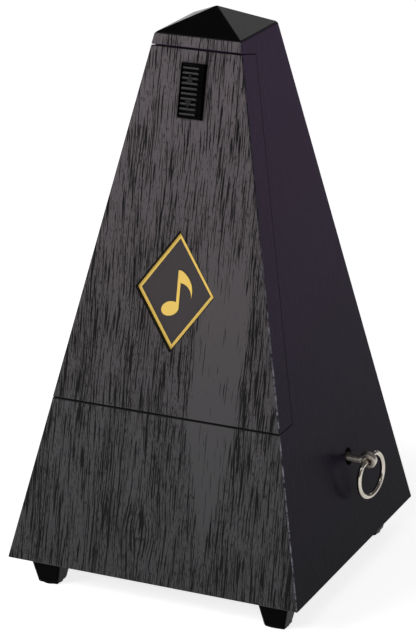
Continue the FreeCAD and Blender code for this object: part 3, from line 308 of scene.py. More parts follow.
@dataclass(frozen=True)
class OpenPoreAsh:
    """Black-stained ash foil on the moulded front: open pores that run up the board."""

    name: str = "black_stained_open_pore_ash"
    # the ground is darker towards the foot, and a little warmer and paler towards the top
    ground: tuple = ((0.0, "#3c3c3e"), (0.3, "#454345"), (0.6, "#4e494c"), (1.0, "#5a5357"))
    pore: str = "#070608"
    long_pore: tuple[float, float] = (0.42, 14.0)  # width and length of the noise cell, in mm
    short_pore: tuple[float, float] = (0.36, 2.4)
    strip_width: float = 8.0
    strip_length: float = 70.0
    fade_up: float = 0.045  # how many more pores the foot shows than the top
    calm_x: float = 17.5  # a strip of calm wood that narrows to a point at its foot
    calm_foot: float = 30.0
    calm_spread: float = 0.22
    calm_half: float = 9.0
    knot: tuple[float, float] = (-8.0, 30.0)  # where the pores swing round a small knot
    knot_size: float = 6.0
    knot_push: float = 0.6
    calm_top: float = 150.0
    calm_fade: float = 45.0
    calm_effect: float = 0.13
    strip_effect: float = 0.15
    drift_cell: tuple[float, float] = (26.0, 60.0)
    drift_reach: float = 3.0
    long_level: tuple[float, float] = (0.535, 0.585)  # noise where a pore starts and is full
    short_level: tuple[float, float] = (0.555, 0.615)
    short_strength: float = 0.75
    pore_depth: float = 0.12
    pore_roughness: float = 0.8
    roughness: float = 0.5
    gloss: float = 0.25

    def cells(self, tree: bpy.types.NodeTree, across: bpy.types.NodeSocket,
              up: bpy.types.NodeSocket, size: tuple[float, float], layer: float,
              detail: float = 2.0) -> bpy.types.NodeSocket:
        """Noise drawn out up the board.

        Args:
            tree: the material's tree.
            across: the place across the board, in metres.
            up: the place up the board, in metres.
            size: the width and the length of a cell, in millimetres.
            layer: a number that sets this layer apart from the others.
            detail: how many finer layers are added.

        Returns:
            The noise, from 0 to 1.
        """
        spot = add_node(tree, "ShaderNodeCombineXYZ", None, {
            "X": maths(tree, "DIVIDE", across, size[0] * MM),
            "Y": maths(tree, "DIVIDE", up, size[1] * MM), "Z": layer}).outputs[0]
        return add_node(tree, "ShaderNodeTexNoise", {"noise_dimensions": "3D"}, {
            "Vector": spot, "Scale": 1.0, "Detail": detail, "Roughness": 0.6}).outputs["Fac"]

    def calm(self, tree: bpy.types.NodeTree, across: bpy.types.NodeSocket,
             up: bpy.types.NodeSocket) -> bpy.types.NodeSocket:
        """How calm the wood is.

        Args:
            tree: the material's tree.
            across: the place across the board, in metres.
            up: the place up the board, in metres.

        Returns:
            1 inside the tapering strip that has hardly any pores, 0 outside it.
        """
        width = maths(tree, "MINIMUM", maths(tree, "MULTIPLY", maths(
            tree, "SUBTRACT", up, self.calm_foot * MM), self.calm_spread), self.calm_half * MM)
        aside = maths(tree, "ABSOLUTE", maths(tree, "SUBTRACT", across, self.calm_x * MM))
        inside = add_node(tree, "ShaderNodeMapRange", {"interpolation_type": "SMOOTHSTEP"}, {
            "Value": maths(tree, "SUBTRACT", aside, width), "From Min": 3.0 * MM,
            "From Max": -1.5 * MM}).outputs[0]
        fade = add_node(tree, "ShaderNodeMapRange", {"interpolation_type": "SMOOTHSTEP"}, {
            "Value": up, "From Min": self.calm_top * MM,
            "From Max": (self.calm_top - self.calm_fade) * MM}).outputs[0]
        return maths(tree, "MULTIPLY", inside, fade)

    def round_knot(self, tree: bpy.types.NodeTree, across: bpy.types.NodeSocket,
                   up: bpy.types.NodeSocket) -> bpy.types.NodeSocket:
        """How far the pores swing aside round the knot, in metres.

        Args:
            tree: the material's tree.
            across: the place across the board, in metres.
            up: the place up the board, in metres.

        Returns:
            The swing, largest beside the knot and nothing far from it.
        """
        aside = maths(tree, "SUBTRACT", across, self.knot[0] * MM)
        above = maths(tree, "SUBTRACT", up, self.knot[1] * MM)
        spread = maths(tree, "ADD", maths(tree, "MULTIPLY", aside, aside),
                       maths(tree, "MULTIPLY", maths(tree, "MULTIPLY", above, above), 0.5))
        near = maths(tree, "EXPONENT", maths(
            tree, "MULTIPLY", spread, -1 / (self.knot_size * MM) ** 2))
        return maths(tree, "MULTIPLY", maths(tree, "MULTIPLY", aside, near), -self.knot_push)

    def pores(self, tree: bpy.types.NodeTree, value: bpy.types.NodeSocket,
              bias: bpy.types.NodeSocket, level: tuple[float, float]) -> bpy.types.NodeSocket:
        """Cut pores out of a layer of noise.

        Args:
            tree: the material's tree.
            value: the layer's noise.
            bias: what is added to it, more for denser pores.
            level: the values where a pore starts and where it is full.

        Returns:
            0 on the ground to 1 in a pore.
        """
        return add_node(tree, "ShaderNodeMapRange", {"interpolation_type": "SMOOTHSTEP"}, {
            "Value": maths(tree, "ADD", value, bias), "From Min": level[0],
            "From Max": level[1]}).outputs[0]

    def build(self) -> bpy.types.Material:
        """Make the material.

        Returns:
            The finished material.
        """
        material, tree, shader = new_material(self.name)
        place = add_node(tree, "ShaderNodeTexCoord").outputs["Object"]
        axes = add_node(tree, "ShaderNodeSeparateXYZ", None, {0: place})
        straight, up = axes.outputs["X"], axes.outputs["Z"]
        drift = self.cells(tree, straight, up, self.drift_cell, 1.7, 1.0)
        across = maths(tree, "ADD", maths(
            tree, "ADD", straight, self.round_knot(tree, straight, up)), maths(
            tree, "MULTIPLY", maths(tree, "SUBTRACT", drift, 0.5), self.drift_reach * MM))
        strips = self.cells(tree, across, up, (self.strip_width, self.strip_length), 4.1, 1.0)
        height = add_node(tree, "ShaderNodeMapRange", None, {
            "Value": up, "From Min": 20.0 * MM, "From Max": 190.0 * MM}).outputs[0]
        lower = maths(tree, "MULTIPLY", maths(tree, "SUBTRACT", 0.55, height), self.fade_up)
        bias = maths(tree, "SUBTRACT", maths(tree, "ADD", lower, maths(
            tree, "MULTIPLY", maths(tree, "SUBTRACT", strips, 0.5), self.strip_effect)),
            maths(tree, "MULTIPLY", self.calm(tree, across, up), self.calm_effect))
        long_pores = self.pores(tree, self.cells(tree, across, up, self.long_pore, 7.3, 1.0),
                                bias, self.long_level)
        short_pores = self.pores(tree, self.cells(tree, across, up, self.short_pore, 9.9),
                                 bias, self.short_level)
        pores = maths(tree, "MAXIMUM", long_pores,
                      maths(tree, "MULTIPLY", short_pores, self.short_strength))
        ground = ramp(tree, height, self.ground)
        colour = add_node(tree, "ShaderNodeMix", {"data_type": "RGBA"}, {
            0: pores, 6: ground, 7: linear(self.pore)}).outputs[2]
        tree.links.new(colour, shader.inputs["Base Color"])
        rough = add_node(tree, "ShaderNodeMapRange", None, {
            "Value": pores, "To Min": self.roughness, "To Max": self.pore_roughness}).outputs[0]
        tree.links.new(rough, shader.inputs["Roughness"])
        shader.inputs["Specular IOR Level"].default_value = self.gloss
        bump = add_node(tree, "ShaderNodeBump", None, {
            "Height": maths(tree, "SUBTRACT", 1.0, pores), "Distance": self.pore_depth * MM,
            "Strength": 0.5})
        tree.links.new(bump.outputs[0], shader.inputs["Normal"])
        return material


@dataclass(frozen=True)
class LacqueredFlank:
    """Black-lacquered side panel: half gloss over a faint upright grain, so it mirrors softly; its colour carries
    painted light and shade, darker at the foot and lighter at the top.
    """

    name: str = "black_lacquered_side"
    # top and low: painted light at the top and painted shade at the foot
    top: str = "#3b2d43"
    low: str = "#131219"
    gloss: float = 0.012
    roughness: float = 0.24
    streak_width: float = 1.1
    streak_length: float = 34.0

    def build(self) -> bpy.types.Material:
        """Make the material.

        Returns:
            The finished material.
        """
        material, tree, shader = new_material(self.name)
        place = add_node(tree, "ShaderNodeTexCoord").outputs["Object"]
        axes = add_node(tree, "ShaderNodeSeparateXYZ", None, {0: place})
        scale = (1 / (self.streak_width * MM), 1 / (self.streak_width * MM),
                 1 / (self.streak_length * MM))
        streak = add_node(tree, "ShaderNodeTexNoise", {"noise_dimensions": "3D"},
                          {"Vector": add_node(tree, "ShaderNodeMapping", None, {
                              "Vector": place, "Scale": scale}).outputs[0],
                           "Scale": 1.0, "Detail": 3.0}).outputs["Fac"]
        height = add_node(tree, "ShaderNodeMapRange", None, {
            "Value": axes.outputs["Z"], "From Min": 15.0 * MM, "From Max": 200.0 * MM}).outputs[0]
        # painted light and shade by height, with the lacquer's grain streaks on it
        mixed = maths(tree, "ADD", height, maths(tree, "MULTIPLY",
                                                 maths(tree, "SUBTRACT", streak, 0.5), 0.35))
        tree.links.new(ramp(tree, mixed, ((0.0, self.low), (1.0, self.top))),
                       shader.inputs["Base Color"])
        rough = add_node(tree, "ShaderNodeMapRange", None, {
            "Value": streak, "To Min": self.roughness - 0.05, "To Max": self.roughness + 0.09})
        tree.links.new(rough.outputs[0], shader.inputs["Roughness"])
        shader.inputs["Specular IOR Level"].default_value = self.gloss
        bump = add_node(tree, "ShaderNodeBump", None, {
            "Height": streak, "Distance": 0.05 * MM, "Strength": 0.35})
        tree.links.new(bump.outputs[0], shader.inputs["Normal"])
        return material


@dataclass(frozen=True)
class RubbedRidge:
    """Lacquered corner: black, with a painted highlight, a broken pale line where the rounded corner catches
    light, stronger lower down.
    """

    name: str = "lacquer_corner_painted_highlight"
    dark: str = "#0b0910"
    # the colour of the painted highlight
    pale: str = "#85838f"
    fleck_length: float = 4.5
    worn_from: float = 150.0
    worn_to: float = 95.0
    roughness: float = 0.3

    def build(self) -> bpy.types.Material:
        """Make the material.

        Returns:
            The finished material.
        """
        material, tree, shader = new_material(self.name)
        place = add_node(tree, "ShaderNodeTexCoord").outputs["Object"]
        up = add_node(tree, "ShaderNodeSeparateXYZ", None, {0: place}).outputs["Z"]
        flecks = add_node(tree, "ShaderNodeTexNoise", {"noise_dimensions": "1D"}, {
            "W": maths(tree, "DIVIDE", up, self.fleck_length * MM), "Scale": 1.0,
            "Detail": 5.0, "Roughness": 0.7}).outputs["Fac"]
        low_down = add_node(tree, "ShaderNodeMapRange", None, {
            "Value": up, "From Min": self.worn_from * MM, "From Max": self.worn_to * MM,
            "To Min": 0.12}).outputs[0]
        highlight_share = add_node(tree, "ShaderNodeMapRange", {"interpolation_type": "SMOOTHSTEP"}, {
            "Value": flecks, "From Min": 0.36, "From Max": 0.66}).outputs[0]
        # painted highlight: pale flecks along the corner, fewer towards the top
        colour = add_node(tree, "ShaderNodeMix", {"data_type": "RGBA"}, {
            0: maths(tree, "MULTIPLY", highlight_share, low_down), 6: linear(self.dark),
            7: linear(self.pale)}).outputs[2]
        tree.links.new(colour, shader.inputs["Base Color"])
        shader.inputs["Roughness"].default_value = self.roughness
        shader.inputs["Specular IOR Level"].default_value = 0.2
        return material


@dataclass(frozen=True)
class Moulded:
    """Moulded ABS: an even colour over a fine moulding texture, glossy or dull by its tool."""

    name: str
    colour: str
    roughness: float
    texture_size: float = 0.5
    texture_depth: float = 0.01
    gloss: float = 0.3

    def build(self) -> bpy.types.Material:
        """Make the material.

        Returns:
            The finished material.
        """
        material, tree, shader = new_material(self.name)
        place = add_node(tree, "ShaderNodeTexCoord").outputs["Object"]
        fine = add_node(tree, "ShaderNodeTexNoise", None, {
            "Vector": place, "Scale": 1 / (self.texture_size * MM), "Detail": 2.0}).outputs["Fac"]
        broad = add_node(tree, "ShaderNodeTexNoise", None, {
            "Vector": place, "Scale": 1 / (25.0 * MM), "Detail": 1.0}).outputs["Fac"]
        base = linear(self.colour)
        tint = add_node(tree, "ShaderNodeMix", {"data_type": "RGBA"}, {
            0: broad, 6: tuple(c * 0.85 for c in base[:3]) + (1.0,),
            7: tuple(c * 1.15 for c in base[:3]) + (1.0,)}).outputs[2]
        tree.links.new(tint, shader.inputs["Base Color"])
        rough = add_node(tree, "ShaderNodeMapRange", None, {
            "Value": fine, "To Min": self.roughness - 0.04, "To Max": self.roughness + 0.06})
        tree.links.new(rough.outputs[0], shader.inputs["Roughness"])
        shader.inputs["Specular IOR Level"].default_value = self.gloss
        bump = add_node(tree, "ShaderNodeBump", None, {
            "Height": fine, "Distance": self.texture_depth * MM, "Strength": 0.5})
        tree.links.new(bump.outputs[0], shader.inputs["Normal"])
        return material


@dataclass(frozen=True)
class Metal:
    """A bare or plated metal: its brushing or polish runs along one axis, and wear varies it."""

    name: str
    colour: str
    roughness: float
    brush: tuple[float, float, float] = (0.6, 0.6, 0.6)
    brush_depth: float = 0.004
    tarnish: str = "#000000"
    tarnish_share: float = 0.0
    metallic: float = 1.0

    def build(self) -> bpy.types.Material:
        """Make the material.

        Returns:
            The finished material.
        """
        material, tree, shader = new_material(self.name)
        place = add_node(tree, "ShaderNodeTexCoord").outputs["Object"]
        scale = tuple(1 / (size * MM) for size in self.brush)
        lines = add_node(tree, "ShaderNodeTexNoise", {"noise_dimensions": "3D"},
                         {"Vector": add_node(tree, "ShaderNodeMapping", None, {
                             "Vector": place, "Scale": scale}).outputs[0],
                          "Scale": 1.0, "Detail": 3.0}).outputs["Fac"]
        cloud = add_node(tree, "ShaderNodeTexNoise", None, {
            "Vector": place, "Scale": 1 / (6.0 * MM), "Detail": 3.0}).outputs["Fac"]
        share = maths(tree, "MULTIPLY", cloud, self.tarnish_share)
        tint = add_node(tree, "ShaderNodeMix", {"data_type": "RGBA"}, {
            0: share, 6: linear(self.colour), 7: linear(self.tarnish)}).outputs[2]
        tree.links.new(tint, shader.inputs["Base Color"])
        rough = add_node(tree, "ShaderNodeMapRange", None, {
            "Value": maths(tree, "MULTIPLY", maths(tree, "ADD", lines, cloud), 0.5),
            "From Min": 0.3, "From Max": 0.7,
            "To Min": max(0.03, self.roughness * 0.75), "To Max": self.roughness * 1.3})
        tree.links.new(rough.outputs[0], shader.inputs["Roughness"])
        shader.inputs["Metallic"].default_value = self.metallic
        bump = add_node(tree, "ShaderNodeBump", None, {
            "Height": lines, "Distance": self.brush_depth * MM, "Strength": 0.4})
        tree.links.new(bump.outputs[0], shader.inputs["Normal"])
        return material


ROD_GRAIN = (0.15, 4.0, 4.0)
PLATE_GRAIN = (4.0, 6.0, 0.2)

FINISHES: dict[str, object] = {
    "grained_case": OpenPoreAsh(),
    "flank": LacqueredFlank(),
    # the corners' pale line is a painted highlight
    "rubbed_ridge": RubbedRidge(),
    "inside": Moulded("moulded_abs_inside", "#1c1b1d", 0.62, 0.9, 0.03, 0.25),
    # polished ABS cap: nearly black, with a faint orange peel
    "cap_black": Moulded("polished_abs_cap", "#020103", 0.22, 1.2, 0.02, 0.11),
    "floor_black": Moulded("moulded_abs_floor", "#1a1a1b", 0.6, 0.8, 0.03, 0.25),
    # moulded foot, so black that only its edges show
    "foot_black": Moulded("polished_abs_foot", "#010101", 0.3, 1.5, 0.01, 0.02),
    "badge_ground": Moulded("dull_black_badge_ground", "#3f3a3d", 0.55, 0.4, 0.02, 0.2),
    "latch_black": Moulded("moulded_abs_slider", "#020202", 0.3, 0.6, 0.01, 0.03),
    # ribs a little greyer than the slider's black: painted sheen where the rounded rib tops catch light
    "latch_rib": Moulded("ribs_with_painted_sheen", "#161519", 0.28, 0.3, 0.01, 0.35),
    "board_black": Moulded("moulded_abs_board", "#222123", 0.5, 0.9, 0.03, 0.25),
    # gilt hot-stamped foil: warm and smooth, a little uneven where it was pressed
    "gilt": Metal("gilt_foil", "#fbd468", 0.4, (0.8, 0.8, 0.8), 0.004, "#dca93e", 0.25, 0.06),
    # turned and drawn steel
    "steel": Metal("turned_steel", "#a9a9ab", 0.26, (0.12, 3.0, 3.0), 0.004, "#6f6e6d", 0.4),
    "plate_steel": Metal("zinc_plated_steel", "#9c9fa2", 0.34, PLATE_GRAIN, 0.004, "#6d7278", 0.5),
    "spring_steel": Metal("blued_spring_steel", "#39425c", 0.28, (4.0, 0.3, 0.3), 0.003,
                          "#20222e", 0.5),
    # brushed brass of wheels and cocks
    "brass": Metal("brushed_brass", "#c9a24e", 0.27, (0.12, 2.5, 2.5), 0.005, "#8d6a2a", 0.45),
    # bright nickel plate on the key and rod: mirrors the room, with a warm grey tone
    "nickel": Metal("bright_nickel_plate", "#d2cbc0", 0.17, (0.5, 0.5, 0.5), 0.002,
                    "#6d665c", 0.5),
    # the same plate on the turned shank, dulled by its tool marks
    "shank_nickel": Metal("satin_nickel_plate", "#d2cbc0", 0.42, (3.0, 0.2, 0.2), 0.004,
                          "#6d665c", 0.5),
    "weight_alloy": Metal("satin_alloy", "#b9b6ae", 0.33, PLATE_GRAIN, 0.005, "#8a8780", 0.4),
    "scale_silver": Metal("silvered_scale", "#cfcdc6", 0.38, ROD_GRAIN, 0.004, "#a5a29a", 0.3),
    # black printing ink on the scale
    "ink": Moulded("printing_ink", "#101010", 0.5, 0.4, 0.0, 0.3),
}


class Wardrobe:
    """Makes each finish once and hands it out."""

    def __init__(self) -> None:
        """Start with nothing made."""
        self.made: dict[str, bpy.types.Material] = {}

    def get(self, slot: str) -> bpy.types.Material:
        """Hand out a slot's material, made the first time it is asked for.

        Args:
            slot: the finish's key.

        Returns:
            Its material.
        """
        if slot not in self.made:
            self.made[slot] = FINISHES[slot].build()
        return self.made[slot]

    def dress(self, piece: bpy.types.Object, slot: str) -> bpy.types.Object:
        """Give a whole piece one finish.

        Args:
            piece: the piece to dress.
            slot: the finish's key.

        Returns:
            The same piece.
        """
        piece.data.materials.clear()
        piece.data.materials.append(self.get(slot))
        return piece


@dataclass
class FaceFrame:
    """The leaning front: across, depth behind its surface, and rise up its slope, in millimetres."""

    origin: Vector = field(init=False)
    inward: Vector = field(init=False)
    upslope: Vector = field(init=False)

    def __post_init__(self) -> None:
        """Read the front's lie from the case and from the joints on it."""
        low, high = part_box("case_shell")
        joints = {joint["name"]: joint for joint in frame["joints"]}
        self.origin = Vector(((low[0] + high[0]) / 2, low[1], low[2]))
        self.upslope = Vector(joints["latch_slide"]["axis"]).normalized()
        self.inward = Vector(joints["pendulum_swing"]["axis"]).normalized()

    def matrix(self) -> Matrix:
        """The matrix from (across, depth, rise) in metres to the object's frame."""
        turn = Matrix((Vector((1, 0, 0)), self.inward, self.upslope)).transposed()
        return Matrix.Translation(self.origin) @ turn.to_4x4()


def laid_on(face: FaceFrame, form: bmesh.types.BMesh, name: str) -> bpy.types.Object:
    """Turn a form drawn in millimetres on the front into a piece.

    Args:
        face: the front's frame.
        form: a form in (across, depth, rise) millimetres; it is freed.
        name: the piece's name.

    Returns:
        The piece, a plain mesh at the origin.
    """
    mesh = bpy.data.meshes.new(name)
    bmesh.ops.transform(form, matrix=face.matrix() @ Matrix.Scale(MM, 4), verts=form.verts)
    bmesh.ops.recalc_face_normals(form, faces=form.faces)
    form.to_mesh(mesh)
    form.free()
    return placed(name, mesh)


def prism(form: bmesh.types.BMesh, points: Iterable[tuple[float, float]], low: float, high: float,
          inset: float = 0.0) -> None:
    """Add a flat piece to a form, its top drawn in towards its middle.

    Args:
        form: the form that gets it.
        points: (across, rise) corners in order.
        low: the depth of its base, in millimetres.
        high: the depth of its top, nearer the viewer.
        inset: how far the top's corners are drawn in, as a share of their distance.
    """
    corners = list(points)
    middle = [sum(p[i] for p in corners) / len(corners) for i in (0, 1)]
    base = [form.verts.new((x, low, z)) for x, z in corners]
    top = [form.verts.new((x + (middle[0] - x) * inset, high, z + (middle[1] - z) * inset))
           for x, z in corners]
    form.faces.new(base)
    form.faces.new(top[::-1])
    for i in range(len(corners)):
        j = (i + 1) % len(corners)
        form.faces.new((base[i], base[j], top[j], top[i]))


# ------------------------------------------------------------------ geometry node trees


def row_tree(name: str, round_ends: bool) -> bpy.types.NodeTree:
    """Build the tree that sets a row of equal bars at an even pitch.

    The row starts at the origin, runs up Z, and each bar lies along X.

    Args:
        name: the tree's name.
        round_ends: whether each bar is a round rod rather than a flat strip.

    Returns:
        The tree, with inputs Count, Pitch, Width, Thickness and Finish, in metres.
    """
    tree = bpy.data.node_groups.new(name, "GeometryNodeTree")
    tree.interface.new_socket("Geometry", in_out="OUTPUT", socket_type="NodeSocketGeometry")
    tree.interface.new_socket("Count", in_out="INPUT", socket_type="NodeSocketInt")
    for size in ("Pitch", "Width", "Thickness"):
        tree.interface.new_socket(size, in_out="INPUT", socket_type="NodeSocketFloat")
    tree.interface.new_socket("Finish", in_out="INPUT", socket_type="NodeSocketMaterial")
    given = add_node(tree, "NodeGroupInput").outputs
    step = add_node(tree, "ShaderNodeCombineXYZ", None, {"Z": given["Pitch"]}).outputs[0]
    line = add_node(tree, "GeometryNodeMeshLine", None, {
        "Count": given["Count"], "Offset": step}).outputs[0]
    if round_ends:
        half = maths(tree, "MULTIPLY", given["Width"], 0.5)
        rod = add_node(tree, "GeometryNodeCurvePrimitiveLine", None, {
            "Start": add_node(tree, "ShaderNodeCombineXYZ", None, {
                "X": maths(tree, "MULTIPLY", half, -1.0)}).outputs[0],
            "End": add_node(tree, "ShaderNodeCombineXYZ", None, {"X": half}).outputs[0]})
        section = add_node(tree, "GeometryNodeCurvePrimitiveCircle", None, {
            "Resolution": 12,
            "Radius": maths(tree, "MULTIPLY", given["Thickness"], 0.5)}).outputs[0]
        swept = add_node(tree, "GeometryNodeCurveToMesh", None, {
            "Curve": rod.outputs[0], "Profile Curve": section, "Fill Caps": True}).outputs[0]
        ball = add_node(tree, "GeometryNodeMeshUVSphere", None, {
            "Segments": 12, "Rings": 8,
            "Radius": maths(tree, "MULTIPLY", given["Thickness"], 0.5)}).outputs[0]
        ends = add_node(tree, "GeometryNodeInstanceOnPoints", None, {
            "Points": add_node(tree, "GeometryNodeCurveToPoints", {"mode": "COUNT"}, {
                "Curve": rod.outputs[0], "Count": 2}).outputs[0], "Instance": ball}).outputs[0]
        joined = add_node(tree, "GeometryNodeJoinGeometry")
        tree.links.new(swept, joined.inputs[0])
        tree.links.new(ends, joined.inputs[0])
        bar = joined.outputs[0]
    else:
        size = add_node(tree, "ShaderNodeCombineXYZ", None, {
            "X": given["Width"], "Y": given["Thickness"],
            "Z": given["Thickness"]}).outputs[0]
        bar = add_node(tree, "GeometryNodeMeshCube", None, {"Size": size}).outputs[0]
    row = add_node(tree, "GeometryNodeInstanceOnPoints", None, {
        "Points": line, "Instance": bar}).outputs[0]
    real = add_node(tree, "GeometryNodeRealizeInstances", None, {0: row}).outputs[0]
    smooth = add_node(tree, "GeometryNodeSetShadeSmooth", None, {
        "Geometry": real, "Shade Smooth": round_ends}).outputs[0]
    dressed = add_node(tree, "GeometryNodeSetMaterial", None, {
        "Geometry": smooth, "Material": given["Finish"]}).outputs[0]
    add_node(tree, "NodeGroupOutput", None, {0: dressed})
    return tree


def grow(tree: bpy.types.NodeTree, name: str, values: dict[str, object]) -> bpy.types.Object:
    """Run a geometry tree and keep what it makes as a plain mesh.

    Args:
        tree: the tree to run.
        name: the new piece's name.
        values: the tree's inputs, by name.

    Returns:
        The new piece, at the origin.
    """
    item = placed(name, bpy.data.meshes.new(name))
    modifier = item.modifiers.new("grown", "NODES")
    modifier.node_group = tree
    for socket in tree.interface.items_tree:
        if socket.in_out == "INPUT" and socket.name in values:
            modifier[socket.identifier] = values[socket.name]
    return settled(item)


# ------------------------------------------------------------------ sub-assemblies


@dataclass
class Case:
    """The moulded pyramid, its cap, its floor and its feet."""

    wardrobe: Wardrobe
    face: FaceFrame
    edge_rounding: float = 0.07
    ridge_rounding: float = 0.6
    skin: float = 0.6
    cap_rounding: float = 0.45
    foot_rounding: float = 0.9

    def side_of(self, centre: Vector, normal: Vector) -> Side:
        """Say which finish a face of the case or the cover takes.

        Args:
            centre: the face's middle.
            normal: the way it looks.

        Returns:
            The front, an outer flank, a corner with a painted highlight, or the inside.
        """
        outward = -self.face.inward
        if normal.dot(outward) > 0.9 and (centre - self.face.origin).dot(outward) > -0.4 * MM:
            return Side.FRONT
        low, high = (Vector(corner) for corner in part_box("case_shell"))
        offset = centre - (low + high) / 2
        half = (high - low).x / 2 - (centre.z - low.z) * self.lean()
        reach_x, reach_y = abs(offset.x), abs(offset.y)
        if max(reach_x, reach_y) < half - self.skin * MM:
            return Side.INSIDE
        if min(reach_x, reach_y) > half - self.ridge_rounding * MM and abs(normal.z) < 0.5:
            return Side.RIDGE if 0.3 < normal.dot(outward) < 0.85 else Side.FLANK
        facing = normal.x * offset.x if reach_x > reach_y else normal.y * offset.y
        return Side.FLANK if facing > 0.8 * max(reach_x, reach_y) else Side.INSIDE

    def lean(self) -> float:
        """How far the walls lean in for each unit of height."""
        return self.face.upslope.y / self.face.upslope.z

    def shell(self, node: str, name: str) -> bpy.types.Object:
        """Round a wall piece and give each face its finish.

        Args:
            node: the CAD node that it stands for.
            name: the piece's name.

        Returns:
            The finished piece.
        """
        piece = rounded_copy(node, name, self.edge_rounding, ridge=self.ridge_rounding)
        order = list(Side)
        # the ridge finish carries a painted highlight
        slots = {Side.FRONT: "grained_case", Side.FLANK: "flank", Side.RIDGE: "rubbed_ridge",
                 Side.INSIDE: "inside"}
        piece.data.materials.clear()
        for side in order:
            piece.data.materials.append(self.wardrobe.get(slots[side]))
        for polygon in piece.data.polygons:
            polygon.material_index = order.index(self.side_of(polygon.center, polygon.normal))
        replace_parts(piece, node)
        return piece

    def build(self) -> list[bpy.types.Object]:
        """Make the pieces that ride on the case.

        Returns:
            The shell, the cap and the four feet.
        """
        pieces = [self.shell("case_shell", "grained_case_shell")]
        cap = rounded_copy("top_cap", "polished_cap", self.cap_rounding, 4, 8.0)
        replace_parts(self.wardrobe.dress(cap, "cap_black"), "top_cap")
        pieces.append(cap)
        for corner in ("front_left", "front_right", "rear_left", "rear_right"):
            foot = rounded_copy(f"foot_{corner}", f"rounded_foot_{corner}", self.foot_rounding, 4)
            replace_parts(self.wardrobe.dress(foot, "foot_black"), f"foot_{corner}")
            pieces.append(foot)
        for piece in pieces:
            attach(piece, "case")
        return pieces


